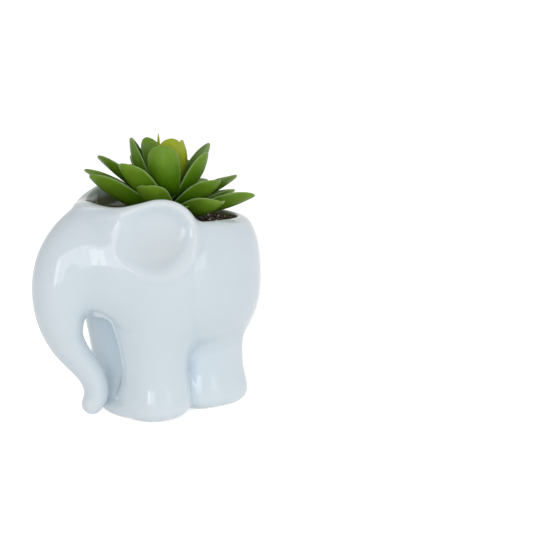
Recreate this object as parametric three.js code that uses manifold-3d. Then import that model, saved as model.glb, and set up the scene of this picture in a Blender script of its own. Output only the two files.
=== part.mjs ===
import * as THREE from "three";
import { mergeVertices } from "three/addons/utils/BufferGeometryUtils.js";
import Module from "manifold-3d";

// Elephant planter: a slip-cast, glazed ceramic pot in the form of a standing elephant whose back is open, holding a
// plastic rosette succulent in foam and grit. Millimetres. It stands on z = 0, faces -Y, and has its left side at +X.
// Lengths along Y are measured from a point between its four legs, until the last lines centre the whole outline.

// Body: an upright egg that is widest at its girth and tucks in under the flanks and the rump.
const bodyWidth = 74;
const bodyLength = 83;
const bodySetBack = 4;
const girthHeight = 60;
const backRise = 40;
const bellyHeight = 14;
const bellyRounding = 8;
const planRoundness = 2.2;
const backRoundness = 2.8;
const tuckDrop = 30;
const flankTuck = 0.407;
const flankTuckPower = 2.3;
const rumpTuck = 0.17;
const rumpTuckPower = 2.4;

// Head: the brow and cheeks in front of the body.
const headWidth = 46;
const headLength = 50;
const headDepth = 56;
const headForward = 30;
const headHeight = 73;

// Trunk: a round tube that hangs from the brow, bows forward, and turns back to the floor by the front feet.
const trunkRoot = 40;
const trunkReach = 16.4;
const trunkTop = 90;
const trunkRadius = 12;
const trunkBlend = 5;
const foreheadBlend = 6;
const trunkStations = [
  // forward share of the reach, share of the height, share of the radius
  [0, 1, 0.458],
  [0.463, 0.971, 0.57],
  [0.768, 0.907, 0.7],
  [0.939, 0.833, 0.85],
  [1, 0.739, 0.967],
  [0.976, 0.633, 1],
  [0.945, 0.544, 0.9],
  [0.896, 0.464, 0.72],
  [0.726, 0.391, 0.633],
  [0.384, 0.306, 0.542],
  [0.037, 0.228, 0.508],
  [-0.134, 0.147, 0.4875],
  [-0.085, 0.0956, 0.467],
  [0.037, 0.0667, 0.408],
];

// Legs: four short pillars with spread feet. The front pair flows into the shoulders, more in front than behind.
// The rear pair is set in, and squarer in plan.
const frontLegX = 13.5;
const frontLegY = -15.6;
const frontLegHalfWidth = 15.6;
const frontLegHalfLength = 15.2;
const frontFootSpread = 1.8;
const frontLegRoundness = 2.1;
const frontPairBlend = 7;
const shoulderBlend = 12;
const shoulderBackBlend = 4;
const shoulderFadeY = -6;
const shoulderFade = 4.5;
const rearLegX = 10.2;
const rearLegY = 15.9;
const rearLegHalfWidth = 14;
const rearLegHalfLength = 15.7;
const rearFootSpread = 2;
const rearLegRoundness = 3;
const rearPairBlend = 3;
const hipBlend = 3.5;
const legTop = 66;
const footSpreadHeight = 7;
const footSpreadReach = 8;
const soleRounding = 6.4;
const soleGround = 0.5;

// Hollow of the chest between the front legs, the toe bridge that joins the front feet, and the arch underneath.
const chestHalfSize = [8.5, 14, 19];
const chestCentre = [0, -38, 31];
const chestBlend = 9;
const toeHalfSize = [13, 8, 5.5];
const toeCentre = [0, -25, 3.5];
const toeBlend = 4;
const archHalfSize = [6.5, 10, 7];
const archBlend = 5;

// Chin: below it the head, trunk and body meet sharply, above it they flow together. It is lower out at the cheeks.
const chinHeight = 56;
const chinFade = 4;
const chinInner = 5;
const cheekDrop = 1.1;
const chinBlend = 1.5;
const cheekBlend = 12;

// Ears: round dished flaps that rise above the rim and wrap the shoulders, rooted on the cheeks.
const earX = 31;
const earY = -21.6;
const earHeight = 85.1;
const earTurn = 58;
const earRadius = 17.6;
const earRootForward = 27;
const earRootRise = 3.6;
const earRootRadius = 7.8;
const earThickness = 5.6;
const earFlare = 0.1;
const earDish = 4.4;
const earDishSpread = 0.72;
const dishForward = 3;
const dishRaise = 2;
const dishInset = 3.6;
const dishFade = 0.22;
const dishFadeFrom = 2;
const dishFadeBlend = 6;
const dishBlend = 4;
const dishWall = 3.4;
const earEdge = 3;
const earInset = 3;
const earEase = 0.85;
const earBlend = 3;

// Opening in the back: an oval well under a rim that climbs towards the forehead.
const mouthWidth = 55;
const mouthLength = 73.4;
const mouthSetBack = -1;
const rimHeight = 92.2;
const rimSlope = 0.155;
const rimBow = 0.0013;
const rimRounding = 3;
const lipDepth = 6;
const wall = 3.6;
const legWall = 4;
const legWeb = 3.5;
const insideFloor = 24;
const legFloor = 5.5;
const insideRounding = 12;
const hollowBlend = 4;
const wellBottom = 72;
const wellRounding = 6;
const wellBlend = 3;
const lipRounding = 1.6;

// Filling: a foam plug that carries the plant, and the glued grit over it.
const fitClearance = 0.3;
const foamTop = 77;
const foamFoot = 0.5;
const foamLift = 2.2;
const foamClearance = 0.8;
const foamRings = 8;
const gritTop = 85.6;
const gritBump = 0.7;

// Plant: a rosette of leaf whorls threaded on one stem, over a collar.
const stemX = 0;
const stemY = 1.5;
const stemRadius = 1.3;
const stemDepth = 34;
const stemTaper = 0.35;
const stemPoint = 4;
const stemAbove = 1;
const stemChamfer = 0.5;
const collarRadius = 4.4;
const collarThickness = 1.2;
const hubRadius = 3.3;
const hubHeight = 3.6;
const hubClearance = 0.15;
const hubGap = 0.1;
const rosetteRadius = 40;
const leafThickness = 3;
const leafCup = 0.52;
const leafWaist = 0.55;
const leafWidest = 0.6;
const whorls = [
  // turn from +X, then shares of the rosette's radius: reach from the stem, rise from the hub, width, sag of the
  // middle, and last the roll of the blade
  {
    name: "leaf_whorl_outer",
    colour: "#4f8a26",
    leaves: [
      [59, 1.012, 0.225, 0.375, 0.04, -16],
      [84, 0.875, 0.23, 0.275, 0.025, -10],
      [21, 0.762, 0.23, 0.425, 0.055, -12],
      [-19, 0.55, 0.163, 0.325, 0.025, 0],
      [-56, 0.562, 0.425, 0.35, 0.055, 4],
      [-106, 0.912, 0.508, 0.4, 0.055, 14],
      [-134, 0.988, 0.512, 0.35, 0, 14],
      [180, 0.875, 0.49, 0.3, 0.025, 4],
      [154, 0.9, 0.338, 0.325, 0.025, 0],
      [122, 0.955, 0.29, 0.3, 0.025, 0],
    ],
  },
  {
    name: "leaf_whorl_middle",
    colour: "#56942a",
    leaves: [
      [88, 0.938, 0.29, 0.325, 0.03, -14],
      [34, 0.645, 0.348, 0.412, 0.062, -8],
      [-84, 0.637, 0.57, 0.388, 0.062, 6],
      [214, 0.895, 0.55, 0.35, 0.01, 20],
      [190, 0.625, 0.55, 0.287, 0.025, 8],
      [135, 0.75, 0.463, 0.325, 0.037, 0],
    ],
  },
  {
    name: "leaf_whorl_inner",
    colour: "#5f9c2e",
    leaves: [
      [62, 0.47, 0.545, 0.4, 0.075, -12],
      [93, 0.6, 0.61, 0.3, 0.062, -16],
      [-41, 0.35, 0.67, 0.35, 0.087, 0],
      [225, 0.43, 0.713, 0.362, 0.087, 12],
      [186, 0.4, 0.688, 0.325, 0.075, 8],
      [140, 0.425, 0.613, 0.325, 0.075, 0],
    ],
  },
  {
    name: "leaf_bud",
    colour: "#a9b83a",
    leaves: [
      [-10, 0.138, 0.635, 0.312, 0.075, 0],
      [64, 0.175, 0.6, 0.3, 0.075, -6],
      [125, 0.113, 0.588, 0.25, 0.065, 0],
      [240, 0.075, 0.55, 0.2, 0.055, 0],
      [206, 0.115, 0.675, 0.04, 0.025, 0],
    ],
  },
];

// Fineness of the cast surface.
const gridStep = 2;
const potFacets = 8000;

const softMin = (a, b, k) => {
  const h = Math.max(k - Math.abs(a - b), 0) / k;
  return Math.min(a, b) - h * h * k * 0.25;
};
const softMax = (a, b, k) => -softMin(-a, -b, k);
// From 0 well below 0 to 1 well above it.
const ease = (v) => 1 / (1 + Math.exp(-v));

function ellipsoid(x, y, z, centre, half) {
  const px = (x - centre[0]) / half[0];
  const py = (y - centre[1]) / half[1];
  const pz = (z - centre[2]) / half[2];
  const k0 = Math.hypot(px, py, pz);
  const k1 = Math.hypot(px / half[0], py / half[1], pz / half[2]);
  return (k0 * (k0 - 1)) / Math.max(k1, 1e-9);
}

function bodyField(x, y, z) {
  const m = planRoundness;
  const halfWidth = bodyWidth / 2;
  const halfLength = bodyLength / 2;
  const drop = girthHeight - z;
  const px = Math.abs(x) / halfWidth;
  const py = Math.abs(y - bodySetBack) / halfLength;
  const wx = Math.max(px, 1e-6) ** m;
  const wy = Math.max(py, 1e-6) ** m;
  const q = wx + wy;
  const rho = q ** (1 / m);
  const steep = q ** (1 / m - 1) * Math.hypot(px ** (m - 1) / halfWidth, py ** (m - 1) / halfLength);
  const grade = Math.max(steep, 1 / 60);
  let size;
  let lean;
  if (drop > 0) {
    const s = Math.min(drop, 44);
    const share = wx / q;
    const inX = flankTuck / tuckDrop ** flankTuckPower;
    const inY = rumpTuck / tuckDrop ** rumpTuckPower;
    size = 1 - share * inX * s ** flankTuckPower - (1 - share) * inY * s ** rumpTuckPower;
    lean =
      share * inX * flankTuckPower * s ** (flankTuckPower - 1) +
      (1 - share) * inY * rumpTuckPower * s ** (rumpTuckPower - 1);
  } else {
    const t = Math.min(-drop / backRise, 0.97);
    const u = 1 - t ** backRoundness;
    size = u ** (1 / backRoundness);
    lean = (u ** (1 / backRoundness - 1) * t ** (backRoundness - 1)) / backRise;
    size -= Math.max(-drop - 0.97 * backRise, 0) * lean;
  }
  let d = (rho - size) / Math.hypot(grade, lean);
  d = Math.max(d, (rho - 1) / grade, z - girthHeight - backRise);
  return softMax(d, bellyHeight - z, bellyRounding);
}

// The trunk's centre line and radius, as balls along a uniform cubic B-spline through the stations.
function trunkBalls() {
  const stations = trunkStations.map(([forward, height, girth]) => [
    -trunkRoot - trunkReach * forward,
    trunkTop * height,
    trunkRadius * girth,
  ]);
  const first = stations[0].map((v, i) => 2 * v - stations[1][i]);
  const last = stations.at(-1).map((v, i) => 2 * v - stations.at(-2)[i]);
  const line = [first, ...stations, last];
  const balls = [];
  for (let i = 0; i + 3 < line.length; i++) {
    for (let j = 0; j < 6; j++) {
      const t = j / 6;
      const weights = [
        (1 - t) ** 3 / 6,
        (3 * t ** 3 - 6 * t * t + 4) / 6,
        (-3 * t ** 3 + 3 * t * t + 3 * t + 1) / 6,
        t ** 3 / 6,
      ];
      balls.push([0, 1, 2].map((axis) => weights.reduce((sum, w, k) => sum + w * line[i + k][axis], 0)));
    }
  }
  balls.push(stations.at(-1).slice());
  return balls;
}

const trunkLine = trunkBalls();

function trunkField(x, y, z) {
  const reach = (i) => {
    const [cy, cz, r] = trunkLine[i];
    return Math.hypot(x, y - cy, z - cz) - r;
  };
  let best = 1;
  let least = Infinity;
  for (let i = 0; i < trunkLine.length; i++) {
    const [cy, cz, r] = trunkLine[i];
    const d = Math.sqrt(x * x + (y - cy) * (y - cy) + (z - cz) * (z - cz)) - r;
    if (d < least) {
      least = d;
      best = i;
    }
  }
  best = Math.min(Math.max(best, 1), trunkLine.length - 2);
  const a = reach(best - 1);
  const b = reach(best);
  const c = reach(best + 1);
  const bend = a - 2 * b + c;
  const t = Math.min(Math.max((a - c) / Math.max(2 * bend, 1e-6), -1), 1);
  return b - 0.5 * t * (a - c) + 0.5 * bend * t * t;
}

function pillar(x, y, z, legX, legY, halfWidth, halfLength, spread, roundness, pairBlend) {
  const flare = spread * Math.exp(-(((z - footSpreadHeight) / footSpreadReach) ** 2));
  const p = halfWidth + flare;
  const q = halfLength + flare;
  const one = (side) => {
    const px = Math.max(Math.abs(x - side * legX) / p, 1e-6);
    const py = Math.max(Math.abs(y - legY) / q, 1e-6);
    const total = px ** roundness + py ** roundness;
    const steep = total ** (1 / roundness - 1) * Math.hypot(px ** (roundness - 1) / p, py ** (roundness - 1) / q);
    return (total ** (1 / roundness) - 1) / Math.max(steep, 1 / 30);
  };
  return softMin(one(-1), one(1), pairBlend);
}

function frontPillars(x, y, z) {
  const size = [frontLegX, frontLegY, frontLegHalfWidth, frontLegHalfLength, frontFootSpread];
  return pillar(x, y, z, ...size, frontLegRoundness, frontPairBlend);
}

function rearPillars(x, y, z) {
  const size = [rearLegX, rearLegY, rearLegHalfWidth, rearLegHalfLength, rearFootSpread];
  return pillar(x, y, z, ...size, rearLegRoundness, rearPairBlend);
}

const cutLeg = (d, z) => softMax(d, Math.max(-z, z - legTop), soleRounding);

// Plan of the hollows that run down into the four legs.
function legHollows(x, y) {
  const hollow = (legX, legY, halfWidth, halfLength) => {
    const [p, q] = [halfWidth - legWall, halfLength - legWall];
    return ellipsoid(Math.abs(x) - legX, y - legY, 0, [0, 0, 0], [p, q, p]);
  };
  return Math.min(
    hollow(frontLegX, frontLegY, frontLegHalfWidth, frontLegHalfLength),
    hollow(rearLegX, rearLegY, rearLegHalfWidth, rearLegHalfLength),
  );
}

// Distance outside the mouth's oval, measured level.
function mouthField(x, y) {
  const px = x / (mouthWidth / 2);
  const py = (y - mouthSetBack) / (mouthLength / 2);
  const rho = Math.max(Math.hypot(px, py), 1e-6);
  const grade = Math.hypot(px / (mouthWidth / 2), py / (mouthLength / 2)) / rho;
  return (rho - 1) / Math.max(grade, 1 / 60);
}

// The flap, and the dish that is scooped out of it and of the cheek under it.
function earFields(x, y, z) {
  const turn = THREE.MathUtils.degToRad(earTurn);
  const across = (Math.abs(x) - earX) * Math.cos(turn) + (y - earY) * Math.sin(turn);
  const up = z - earHeight;
  const rootSpan = Math.hypot(earRootForward, earRootRise);
  const ex = -earRootForward / rootSpan;
  const ey = earRootRise / rootSpan;
  const along = across * ex + up * ey;
  const aside = Math.abs(-across * ey + up * ex);
  const taper = (earRadius - earRootRadius) / rootSpan;
  const slope = Math.sqrt(1 - taper * taper);
  const side = -taper * aside + slope * along;
  let outline;
  if (side < 0) {
    outline = Math.hypot(aside, along) - earRadius;
  } else if (side > slope * rootSpan) {
    outline = Math.hypot(aside, along - rootSpan) - earRootRadius;
  } else {
    outline = aside * slope + along * taper - earRadius;
  }
  const outward = mouthField(x, y);
  const spread = (across * across + up * up) / (earRadius * earRadius);
  const dish = earDish * Math.exp(-((spread / earDishSpread) ** 2));
  const face = earThickness + earFlare * (earRadius - up) - dish;
  const a = outline + earEdge;
  const b = outward - face + earEdge;
  const d = Math.min(Math.max(a, b), 0) + Math.hypot(Math.max(a, 0), Math.max(b, 0)) - earEdge;
  const disc = softMax(Math.hypot(across + dishForward, up - dishRaise) - earRadius, outline, dishBlend);
  const floor = face + dishFade * softMax(-across - dishFadeFrom, 0, dishFadeBlend);
  const hollow = softMax(disc + dishInset, floor - outward, dishBlend);
  return [Math.max(d, -outward - earInset) * earEase, hollow * earEase];
}

const rimAt = (y) => rimHeight - rimSlope * y + rimBow * y * y;

// The glazed casting: outside form, ears, and the inside that leaves an even wall.
function potField(x, y, z) {
  const torso = bodyField(x, y, z);
  const front = frontPillars(x, y, z);
  const rear = rearPillars(x, y, z);
  const chest = ellipsoid(x, y, z, chestCentre, chestHalfSize);
  const head = ellipsoid(x, y, z, [0, -headForward, headHeight], [headWidth / 2, headLength / 2, headDepth / 2]);

  const shoulder = shoulderBackBlend + (shoulderBlend - shoulderBackBlend) * ease((shoulderFadeY - y) / shoulderFade);
  let lower = softMin(softMin(torso, cutLeg(front, z), shoulder), cutLeg(rear, z), hipBlend);
  lower = softMax(lower, -chest, chestBlend);
  lower = softMin(lower, ellipsoid(x, y, z, toeCentre, toeHalfSize), toeBlend);
  const arch = ellipsoid(x, y, z, [0, 0, 0], archHalfSize);
  lower = softMax(lower, -arch, archBlend);
  const aboveChin = ease((z - chinHeight + cheekDrop * Math.max(Math.abs(x) - chinInner, 0)) / chinFade);
  const upper = softMin(head, trunkField(x, y, z), trunkBlend + foreheadBlend * aboveChin);
  const chin = chinBlend + cheekBlend * aboveChin;
  let d = softMin(lower, upper, chin);
  d = softMax(d, (z - rimAt(y)) * 0.97, rimRounding);
  const [ear, hollow] = earFields(x, y, z);
  d = softMax(softMin(d, ear, earBlend), -hollow, dishBlend);

  const shell = softMax(softMin(torso, head, chin), -chest, chestBlend);
  let inside = softMax(shell + wall, insideFloor - z, insideRounding);
  inside = softMax(inside, z - rimAt(y) + lipDepth, insideRounding);
  const legs = Math.max(legHollows(x, y), legWeb / 2 - Math.abs(x), legFloor - z, z - girthHeight);
  inside = softMin(inside, legs, hollowBlend);
  inside = softMax(softMax(inside, wall - chest, lipRounding), wall - arch, lipRounding);
  const well = softMax(mouthField(x, y), wellBottom - z, wellRounding);
  inside = softMin(inside, well, wellBlend);
  inside = softMax(inside, dishWall - hollow, lipRounding);
  d = softMax(d, -inside, lipRounding);
  return Math.max(d, -z);
}

// Closed surface where a field is zero: each grid cube is cut into six tetrahedra that share its diagonal, so the
// surface has no gaps or doubled edges whatever its shape.
function skin(field, low, high, step) {
  const [nx, ny, nz] = low.map((v, i) => Math.ceil((high[i] - v) / step) + 1);
  const values = new Float64Array(nx * ny * nz);
  const least = 0.02 * step;
  let n = 0;
  for (let k = 0; k < nz; k++) {
    for (let j = 0; j < ny; j++) {
      for (let i = 0; i < nx; i++) {
        const v = field(low[0] + i * step, low[1] + j * step, low[2] + k * step);
        values[n++] = Math.abs(v) < least ? Math.sign(v || 1) * least : v;
      }
    }
  }
  const points = [];
  const faces = [];
  const known = new Map();
  const place = (index) => [index % nx, Math.floor(index / nx) % ny, Math.floor(index / (nx * ny))];
  const crossing = (a, b) => {
    const name = a < b ? a * 16777216 + b : b * 16777216 + a;
    const found = known.get(name);
    if (found !== undefined) return found;
    const t = values[a] / (values[a] - values[b]);
    const pa = place(a);
    const pb = place(b);
    points.push(pa.map((v, axis) => low[axis] + step * (v + t * (pb[axis] - v))));
    known.set(name, points.length - 1);
    return points.length - 1;
  };
  const stride = [1, nx, nx * ny];
  // The first two axes of each way from a cube's low corner to its high one, and whether they turn right-handed.
  const orders = [
    [0, 1, 1],
    [1, 2, 1],
    [2, 0, 1],
    [0, 2, -1],
    [2, 1, -1],
    [1, 0, -1],
  ];
  const far = stride[0] + stride[1] + stride[2];
  for (let k = 0; k + 1 < nz; k++) {
    for (let j = 0; j + 1 < ny; j++) {
      for (let i = 0; i + 1 < nx; i++) {
        const base = i + nx * (j + ny * k);
        for (const [first, second, hand] of orders) {
          const corner = [base, base + stride[first], base + stride[first] + stride[second], base + far];
          const inner = corner.filter((c) => values[c] < 0);
          if (inner.length === 0 || inner.length === 4) continue;
          const outer = corner.filter((c) => values[c] >= 0);
          // The parity of the corner order tells which way round the crossing faces out.
          const order = [...inner, ...outer].map((c) => corner.indexOf(c));
          let parity = hand;
          for (let a = 0; a < 4; a++) for (let b = a + 1; b < 4; b++) if (order[a] > order[b]) parity = -parity;
          const add = (p, q, r) => faces.push(parity > 0 ? [p, q, r] : [p, r, q]);
          if (inner.length === 1) {
            add(...outer.map((c) => crossing(inner[0], c)));
          } else if (inner.length === 3) {
            add(...inner.map((c) => crossing(outer[0], c)));
          } else {
            const [p, q] = inner;
            const [r, t] = outer;
            const ring = [crossing(p, r), crossing(p, t), crossing(q, t), crossing(q, r)];
            add(ring[0], ring[1], ring[2]);
            add(ring[0], ring[2], ring[3]);
          }
        }
      }
    }
  }
  return { points, faces };
}

// Moves every point along the field's slope until it lies on the surface.
function settle(field, points, rounds) {
  const e = 0.05;
  for (const p of points) {
    for (let i = 0; i < rounds; i++) {
      const v = field(...p);
      const slope = [0, 1, 2].map((axis) => {
        const q = p.slice();
        q[axis] += e;
        return (field(...q) - v) / e;
      });
      const steep = Math.max(slope[0] ** 2 + slope[1] ** 2 + slope[2] ** 2, 0.05);
      const reach = Math.min(Math.max(v / steep, -gridStep / 3), gridStep / 3);
      for (let axis = 0; axis < 3; axis++) p[axis] -= slope[axis] * reach;
    }
  }
}

// Joins the shortest and flattest edges until the wanted number of faces is left, by the sum of squared distances
// to the planes that meet at each point.
function thin(points, faces, goal) {
  const p = Float64Array.from(points.flat());
  const face = Int32Array.from(faces.flat());
  const around = points.map(() => []);
  const plane = new Float64Array(10 * points.length);
  const version = new Int32Array(points.length);
  const stamp = new Int32Array(points.length);
  const alive = new Uint8Array(faces.length).fill(1);
  const normal = (ax, ay, az, bx, by, bz, cx, cy, cz, out) => {
    const [ux, uy, uz, vx, vy, vz] = [bx - ax, by - ay, bz - az, cx - ax, cy - ay, cz - az];
    out[0] = uy * vz - uz * vy;
    out[1] = uz * vx - ux * vz;
    out[2] = ux * vy - uy * vx;
    return Math.hypot(out[0], out[1], out[2]);
  };
  const n0 = [0, 0, 0];
  const n1 = [0, 0, 0];
  for (let f = 0; f < faces.length; f++) {
    const [a, b, c] = [3 * face[3 * f], 3 * face[3 * f + 1], 3 * face[3 * f + 2]];
    for (let i = 0; i < 3; i++) around[face[3 * f + i]].push(f);
    const twice = normal(p[a], p[a + 1], p[a + 2], p[b], p[b + 1], p[b + 2], p[c], p[c + 1], p[c + 2], n0);
    if (twice < 1e-12) continue;
    const [x, y, z] = [n0[0] / twice, n0[1] / twice, n0[2] / twice];
    const d = -(x * p[a] + y * p[a + 1] + z * p[a + 2]);
    const row = [x * x, x * y, x * z, x * d, y * y, y * z, y * d, z * z, z * d, d * d];
    for (let i = 0; i < 3; i++) for (let r = 0; r < 10; r++) plane[10 * face[3 * f + i] + r] += row[r] * twice;
  }

  const heap = [];
  const push = (item) => {
    let i = heap.push(item) - 1;
    while (i > 0) {
      const parent = (i - 1) >> 1;
      if (heap[parent].cost <= item.cost) break;
      heap[i] = heap[parent];
      i = parent;
    }
    heap[i] = item;
  };
  const pop = () => {
    const top = heap[0];
    const end = heap.pop();
    const size = heap.length;
    let i = 0;
    while (size) {
      let child = 2 * i + 1;
      if (child >= size) break;
      if (child + 1 < size && heap[child + 1].cost < heap[child].cost) child++;
      if (heap[child].cost >= end.cost) break;
      heap[i] = heap[child];
      i = child;
    }
    if (size) heap[i] = end;
    return top;
  };

  const q = new Float64Array(10);
  const offer = (a, b) => {
    for (let r = 0; r < 10; r++) q[r] = plane[10 * a + r] + plane[10 * b + r];
    const [dx, dy, dz] = [p[3 * a] - p[3 * b], p[3 * a + 1] - p[3 * b + 1], p[3 * a + 2] - p[3 * b + 2]];
    // A light pull to the middle keeps the point in place where the surface is flat.
    const pull = 1e-3 * (q[0] + q[4] + q[7]) + 1e-9;
    const rx = q[3] - pull * (p[3 * b] + dx / 2);
    const ry = q[6] - pull * (p[3 * b + 1] + dy / 2);
    const rz = q[8] - pull * (p[3 * b + 2] + dz / 2);
    const [xx, xy, xz, yy, yz, zz] = [q[0] + pull, q[1], q[2], q[4] + pull, q[5], q[7] + pull];
    const c0 = yy * zz - yz * yz;
    const c1 = xz * yz - xy * zz;
    const c2 = xy * yz - xz * yy;
    const det = xx * c0 + xy * c1 + xz * c2;
    const x = -(c0 * rx + c1 * ry + c2 * rz) / det;
    const y = -(c1 * rx + (xx * zz - xz * xz) * ry + (xy * xz - xx * yz) * rz) / det;
    const z = -(c2 * rx + (xy * xz - xx * yz) * ry + (xx * yy - xy * xy) * rz) / det;
    const error =
      q[0] * x * x + 2 * q[1] * x * y + 2 * q[2] * x * z + 2 * q[3] * x +
      q[4] * y * y + 2 * q[5] * y * z + 2 * q[6] * y + q[7] * z * z + 2 * q[8] * z + q[9];
    const cost = Math.max(error, 0) + 1e-5 * (dx * dx + dy * dy + dz * dz);
    push({ cost, a, b, va: version[a], vb: version[b], x, y, z });
  };
  for (let f = 0; f < faces.length; f++) {
    for (let i = 0; i < 3; i++) {
      const a = face[3 * f + i];
      const b = face[3 * f + ((i + 1) % 3)];
      if (a < b) offer(a, b);
    }
  }

  // True where moving corner v of a face to (x, y, z) turns it over or leaves a sliver.
  const folds = (f, v, x, y, z) => {
    const [a, b, c] = [face[3 * f], face[3 * f + 1], face[3 * f + 2]];
    const k = v === a ? 0 : v === b ? 1 : 2;
    const i = 3 * face[3 * f + ((k + 1) % 3)];
    const j = 3 * face[3 * f + ((k + 2) % 3)];
    const was = normal(p[3 * v], p[3 * v + 1], p[3 * v + 2], p[i], p[i + 1], p[i + 2], p[j], p[j + 1], p[j + 2], n0);
    const now = normal(x, y, z, p[i], p[i + 1], p[i + 2], p[j], p[j + 1], p[j + 2], n1);
    const s0 = (p[i] - p[j]) ** 2 + (p[i + 1] - p[j + 1]) ** 2 + (p[i + 2] - p[j + 2]) ** 2;
    const s1 = (p[i] - x) ** 2 + (p[i + 1] - y) ** 2 + (p[i + 2] - z) ** 2;
    const s2 = (p[j] - x) ** 2 + (p[j + 1] - y) ** 2 + (p[j + 2] - z) ** 2;
    if (now < 0.05 * Math.max(s0, s1, s2)) return true;
    return n0[0] * n1[0] + n0[1] * n1[1] + n0[2] * n1[2] < 0.5 * was * now;
  };

  let left = faces.length;
  let mark = 0;
  while (left > goal && heap.length) {
    const { a, b, va, vb, x, y, z } = pop();
    if (version[a] !== va || version[b] !== vb) continue;
    const ofA = around[a].filter((f) => alive[f]);
    const ofB = around[b].filter((f) => alive[f]);
    mark++;
    for (const f of ofA) for (let i = 0; i < 3; i++) stamp[face[3 * f + i]] = mark;
    const common = new Set();
    for (const f of ofB) {
      for (let i = 0; i < 3; i++) {
        const v = face[3 * f + i];
        if (v !== a && v !== b && stamp[v] === mark) common.add(v);
      }
    }
    const has = (f, v) => face[3 * f] === v || face[3 * f + 1] === v || face[3 * f + 2] === v;
    const shared = ofA.filter((f) => has(f, b));
    if (shared.length !== 2 || common.size !== 2) continue;
    const keptA = ofA.filter((f) => !has(f, b));
    const keptB = ofB.filter((f) => !has(f, a));
    if (keptA.some((f) => folds(f, a, x, y, z)) || keptB.some((f) => folds(f, b, x, y, z))) continue;
    p[3 * a] = x;
    p[3 * a + 1] = y;
    p[3 * a + 2] = z;
    for (let r = 0; r < 10; r++) plane[10 * a + r] += plane[10 * b + r];
    for (const f of shared) alive[f] = 0;
    left -= 2;
    for (const f of keptB) for (let i = 0; i < 3; i++) if (face[3 * f + i] === b) face[3 * f + i] = a;
    around[a] = [...keptA, ...keptB];
    around[b] = [];
    version[a]++;
    version[b] = -1;
    const ring = new Set();
    for (const f of around[a]) for (let i = 0; i < 3; i++) ring.add(face[3 * f + i]);
    ring.delete(a);
    for (const v of ring) offer(a, v);
  }

  const index = new Map();
  const kept = [];
  const result = [];
  for (let f = 0; f < faces.length; f++) {
    if (!alive[f]) continue;
    const corners = [0, 1, 2].map((i) => face[3 * f + i]);
    for (const v of corners) {
      if (index.has(v)) continue;
      index.set(v, kept.length);
      kept.push([p[3 * v], p[3 * v + 1], p[3 * v + 2]]);
    }
    result.push(corners.map((v) => index.get(v)));
  }
  return { points: kept, faces: result };
}

function toGeometry(points, faces) {
  const geometry = new THREE.BufferGeometry();
  geometry.setAttribute("position", new THREE.Float32BufferAttribute(points.flat(), 3));
  geometry.setIndex(faces.flat());
  geometry.computeVertexNormals();
  return geometry;
}

function potGeometry() {
  const margin = 6;
  const earReach = earX + earRadius;
  const halfWidth = Math.max(bodyWidth / 2, earReach, frontLegX + frontLegHalfWidth) + margin;
  const front = -Math.max(trunkRoot + trunkReach + trunkRadius, headForward + headLength / 2) - margin;
  const back = bodySetBack + bodyLength / 2 + margin;
  const top = Math.max(earHeight + earRadius, rimAt(-headForward), trunkTop + trunkRadius) + margin;
  const { points, faces } = skin(potField, [-halfWidth, front, -2.3 * gridStep], [halfWidth, back, top], gridStep);
  settle(potField, points, 1);
  const cast = thin(points, faces, potFacets);
  for (const p of cast.points) if (p[2] < soleGround) p[2] = 0;
  return toGeometry(cast.points, cast.faces);
}

// Level distance from the stem to the pot's inner wall, less the clearance, in the direction of an angle.
function innerReach(angle, z, limit, clearance) {
  const [dx, dy] = [Math.cos(angle), Math.sin(angle)];
  const clear = (r) => potField(stemX + r * dx, stemY + r * dy, z) > clearance;
  let low = 1;
  while (low < limit && clear(low + 1)) low += 1;
  let high = low + 1;
  for (let i = 0; i < 12; i++) {
    const middle = (low + high) / 2;
    if (clear(middle)) low = middle;
    else high = middle;
  }
  return Math.min(low, limit);
}

// A round block fitted to the pot's inside at each of its levels, with a hole for the stem. A level is its height and
// how much of the mouth it may fill; ripple(angle, ring) lifts the top.
function fillingGeometry(levels, clearance, topRings, holeRadius, ripple) {
  const sides = 32;
  const points = [];
  const faces = [];
  const ring = (at) => {
    const first = points.length;
    for (let i = 0; i < sides; i++) points.push(at((2 * Math.PI * i) / sides));
    return first;
  };
  const join = (a, b) => {
    for (let i = 0; i < sides; i++) {
      const n = (i + 1) % sides;
      faces.push([a + i, a + n, b + n], [a + i, b + n, b + i]);
    }
  };
  const mouthReach = (angle) => {
    const [dx, dy] = [Math.cos(angle), Math.sin(angle)];
    let [low, high] = [0, mouthLength];
    for (let i = 0; i < 24; i++) {
      const middle = (low + high) / 2;
      if (mouthField(stemX + middle * dx, stemY + middle * dy) < -clearance) low = middle;
      else high = middle;
    }
    return low;
  };
  const reach = levels.map(([z, share]) => (angle) => innerReach(angle, z, share * mouthReach(angle), clearance));
  const at = (angle, r, z) => [stemX + r * Math.cos(angle), stemY + r * Math.sin(angle), z];
  const bottom = ring((angle) => at(angle, holeRadius, levels[0][0]));
  let last = bottom;
  levels.forEach(([z], k) => {
    const next = ring((angle) => at(angle, reach[k](angle), z));
    join(last, next);
    last = next;
  });
  const topHeight = levels.at(-1)[0];
  const topReach = reach.at(-1);
  for (let k = 1; k <= topRings; k++) {
    const share = 1 - k / (topRings + 1);
    const next = ring((angle) => {
      const r = holeRadius + (topReach(angle) - holeRadius) * share;
      return at(angle, r, topHeight + ripple(angle, k));
    });
    join(last, next);
    last = next;
  }
  const hole = ring((angle) => at(angle, holeRadius, topHeight));
  join(last, hole);
  join(hole, bottom);
  return toGeometry(points, faces);
}

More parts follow.
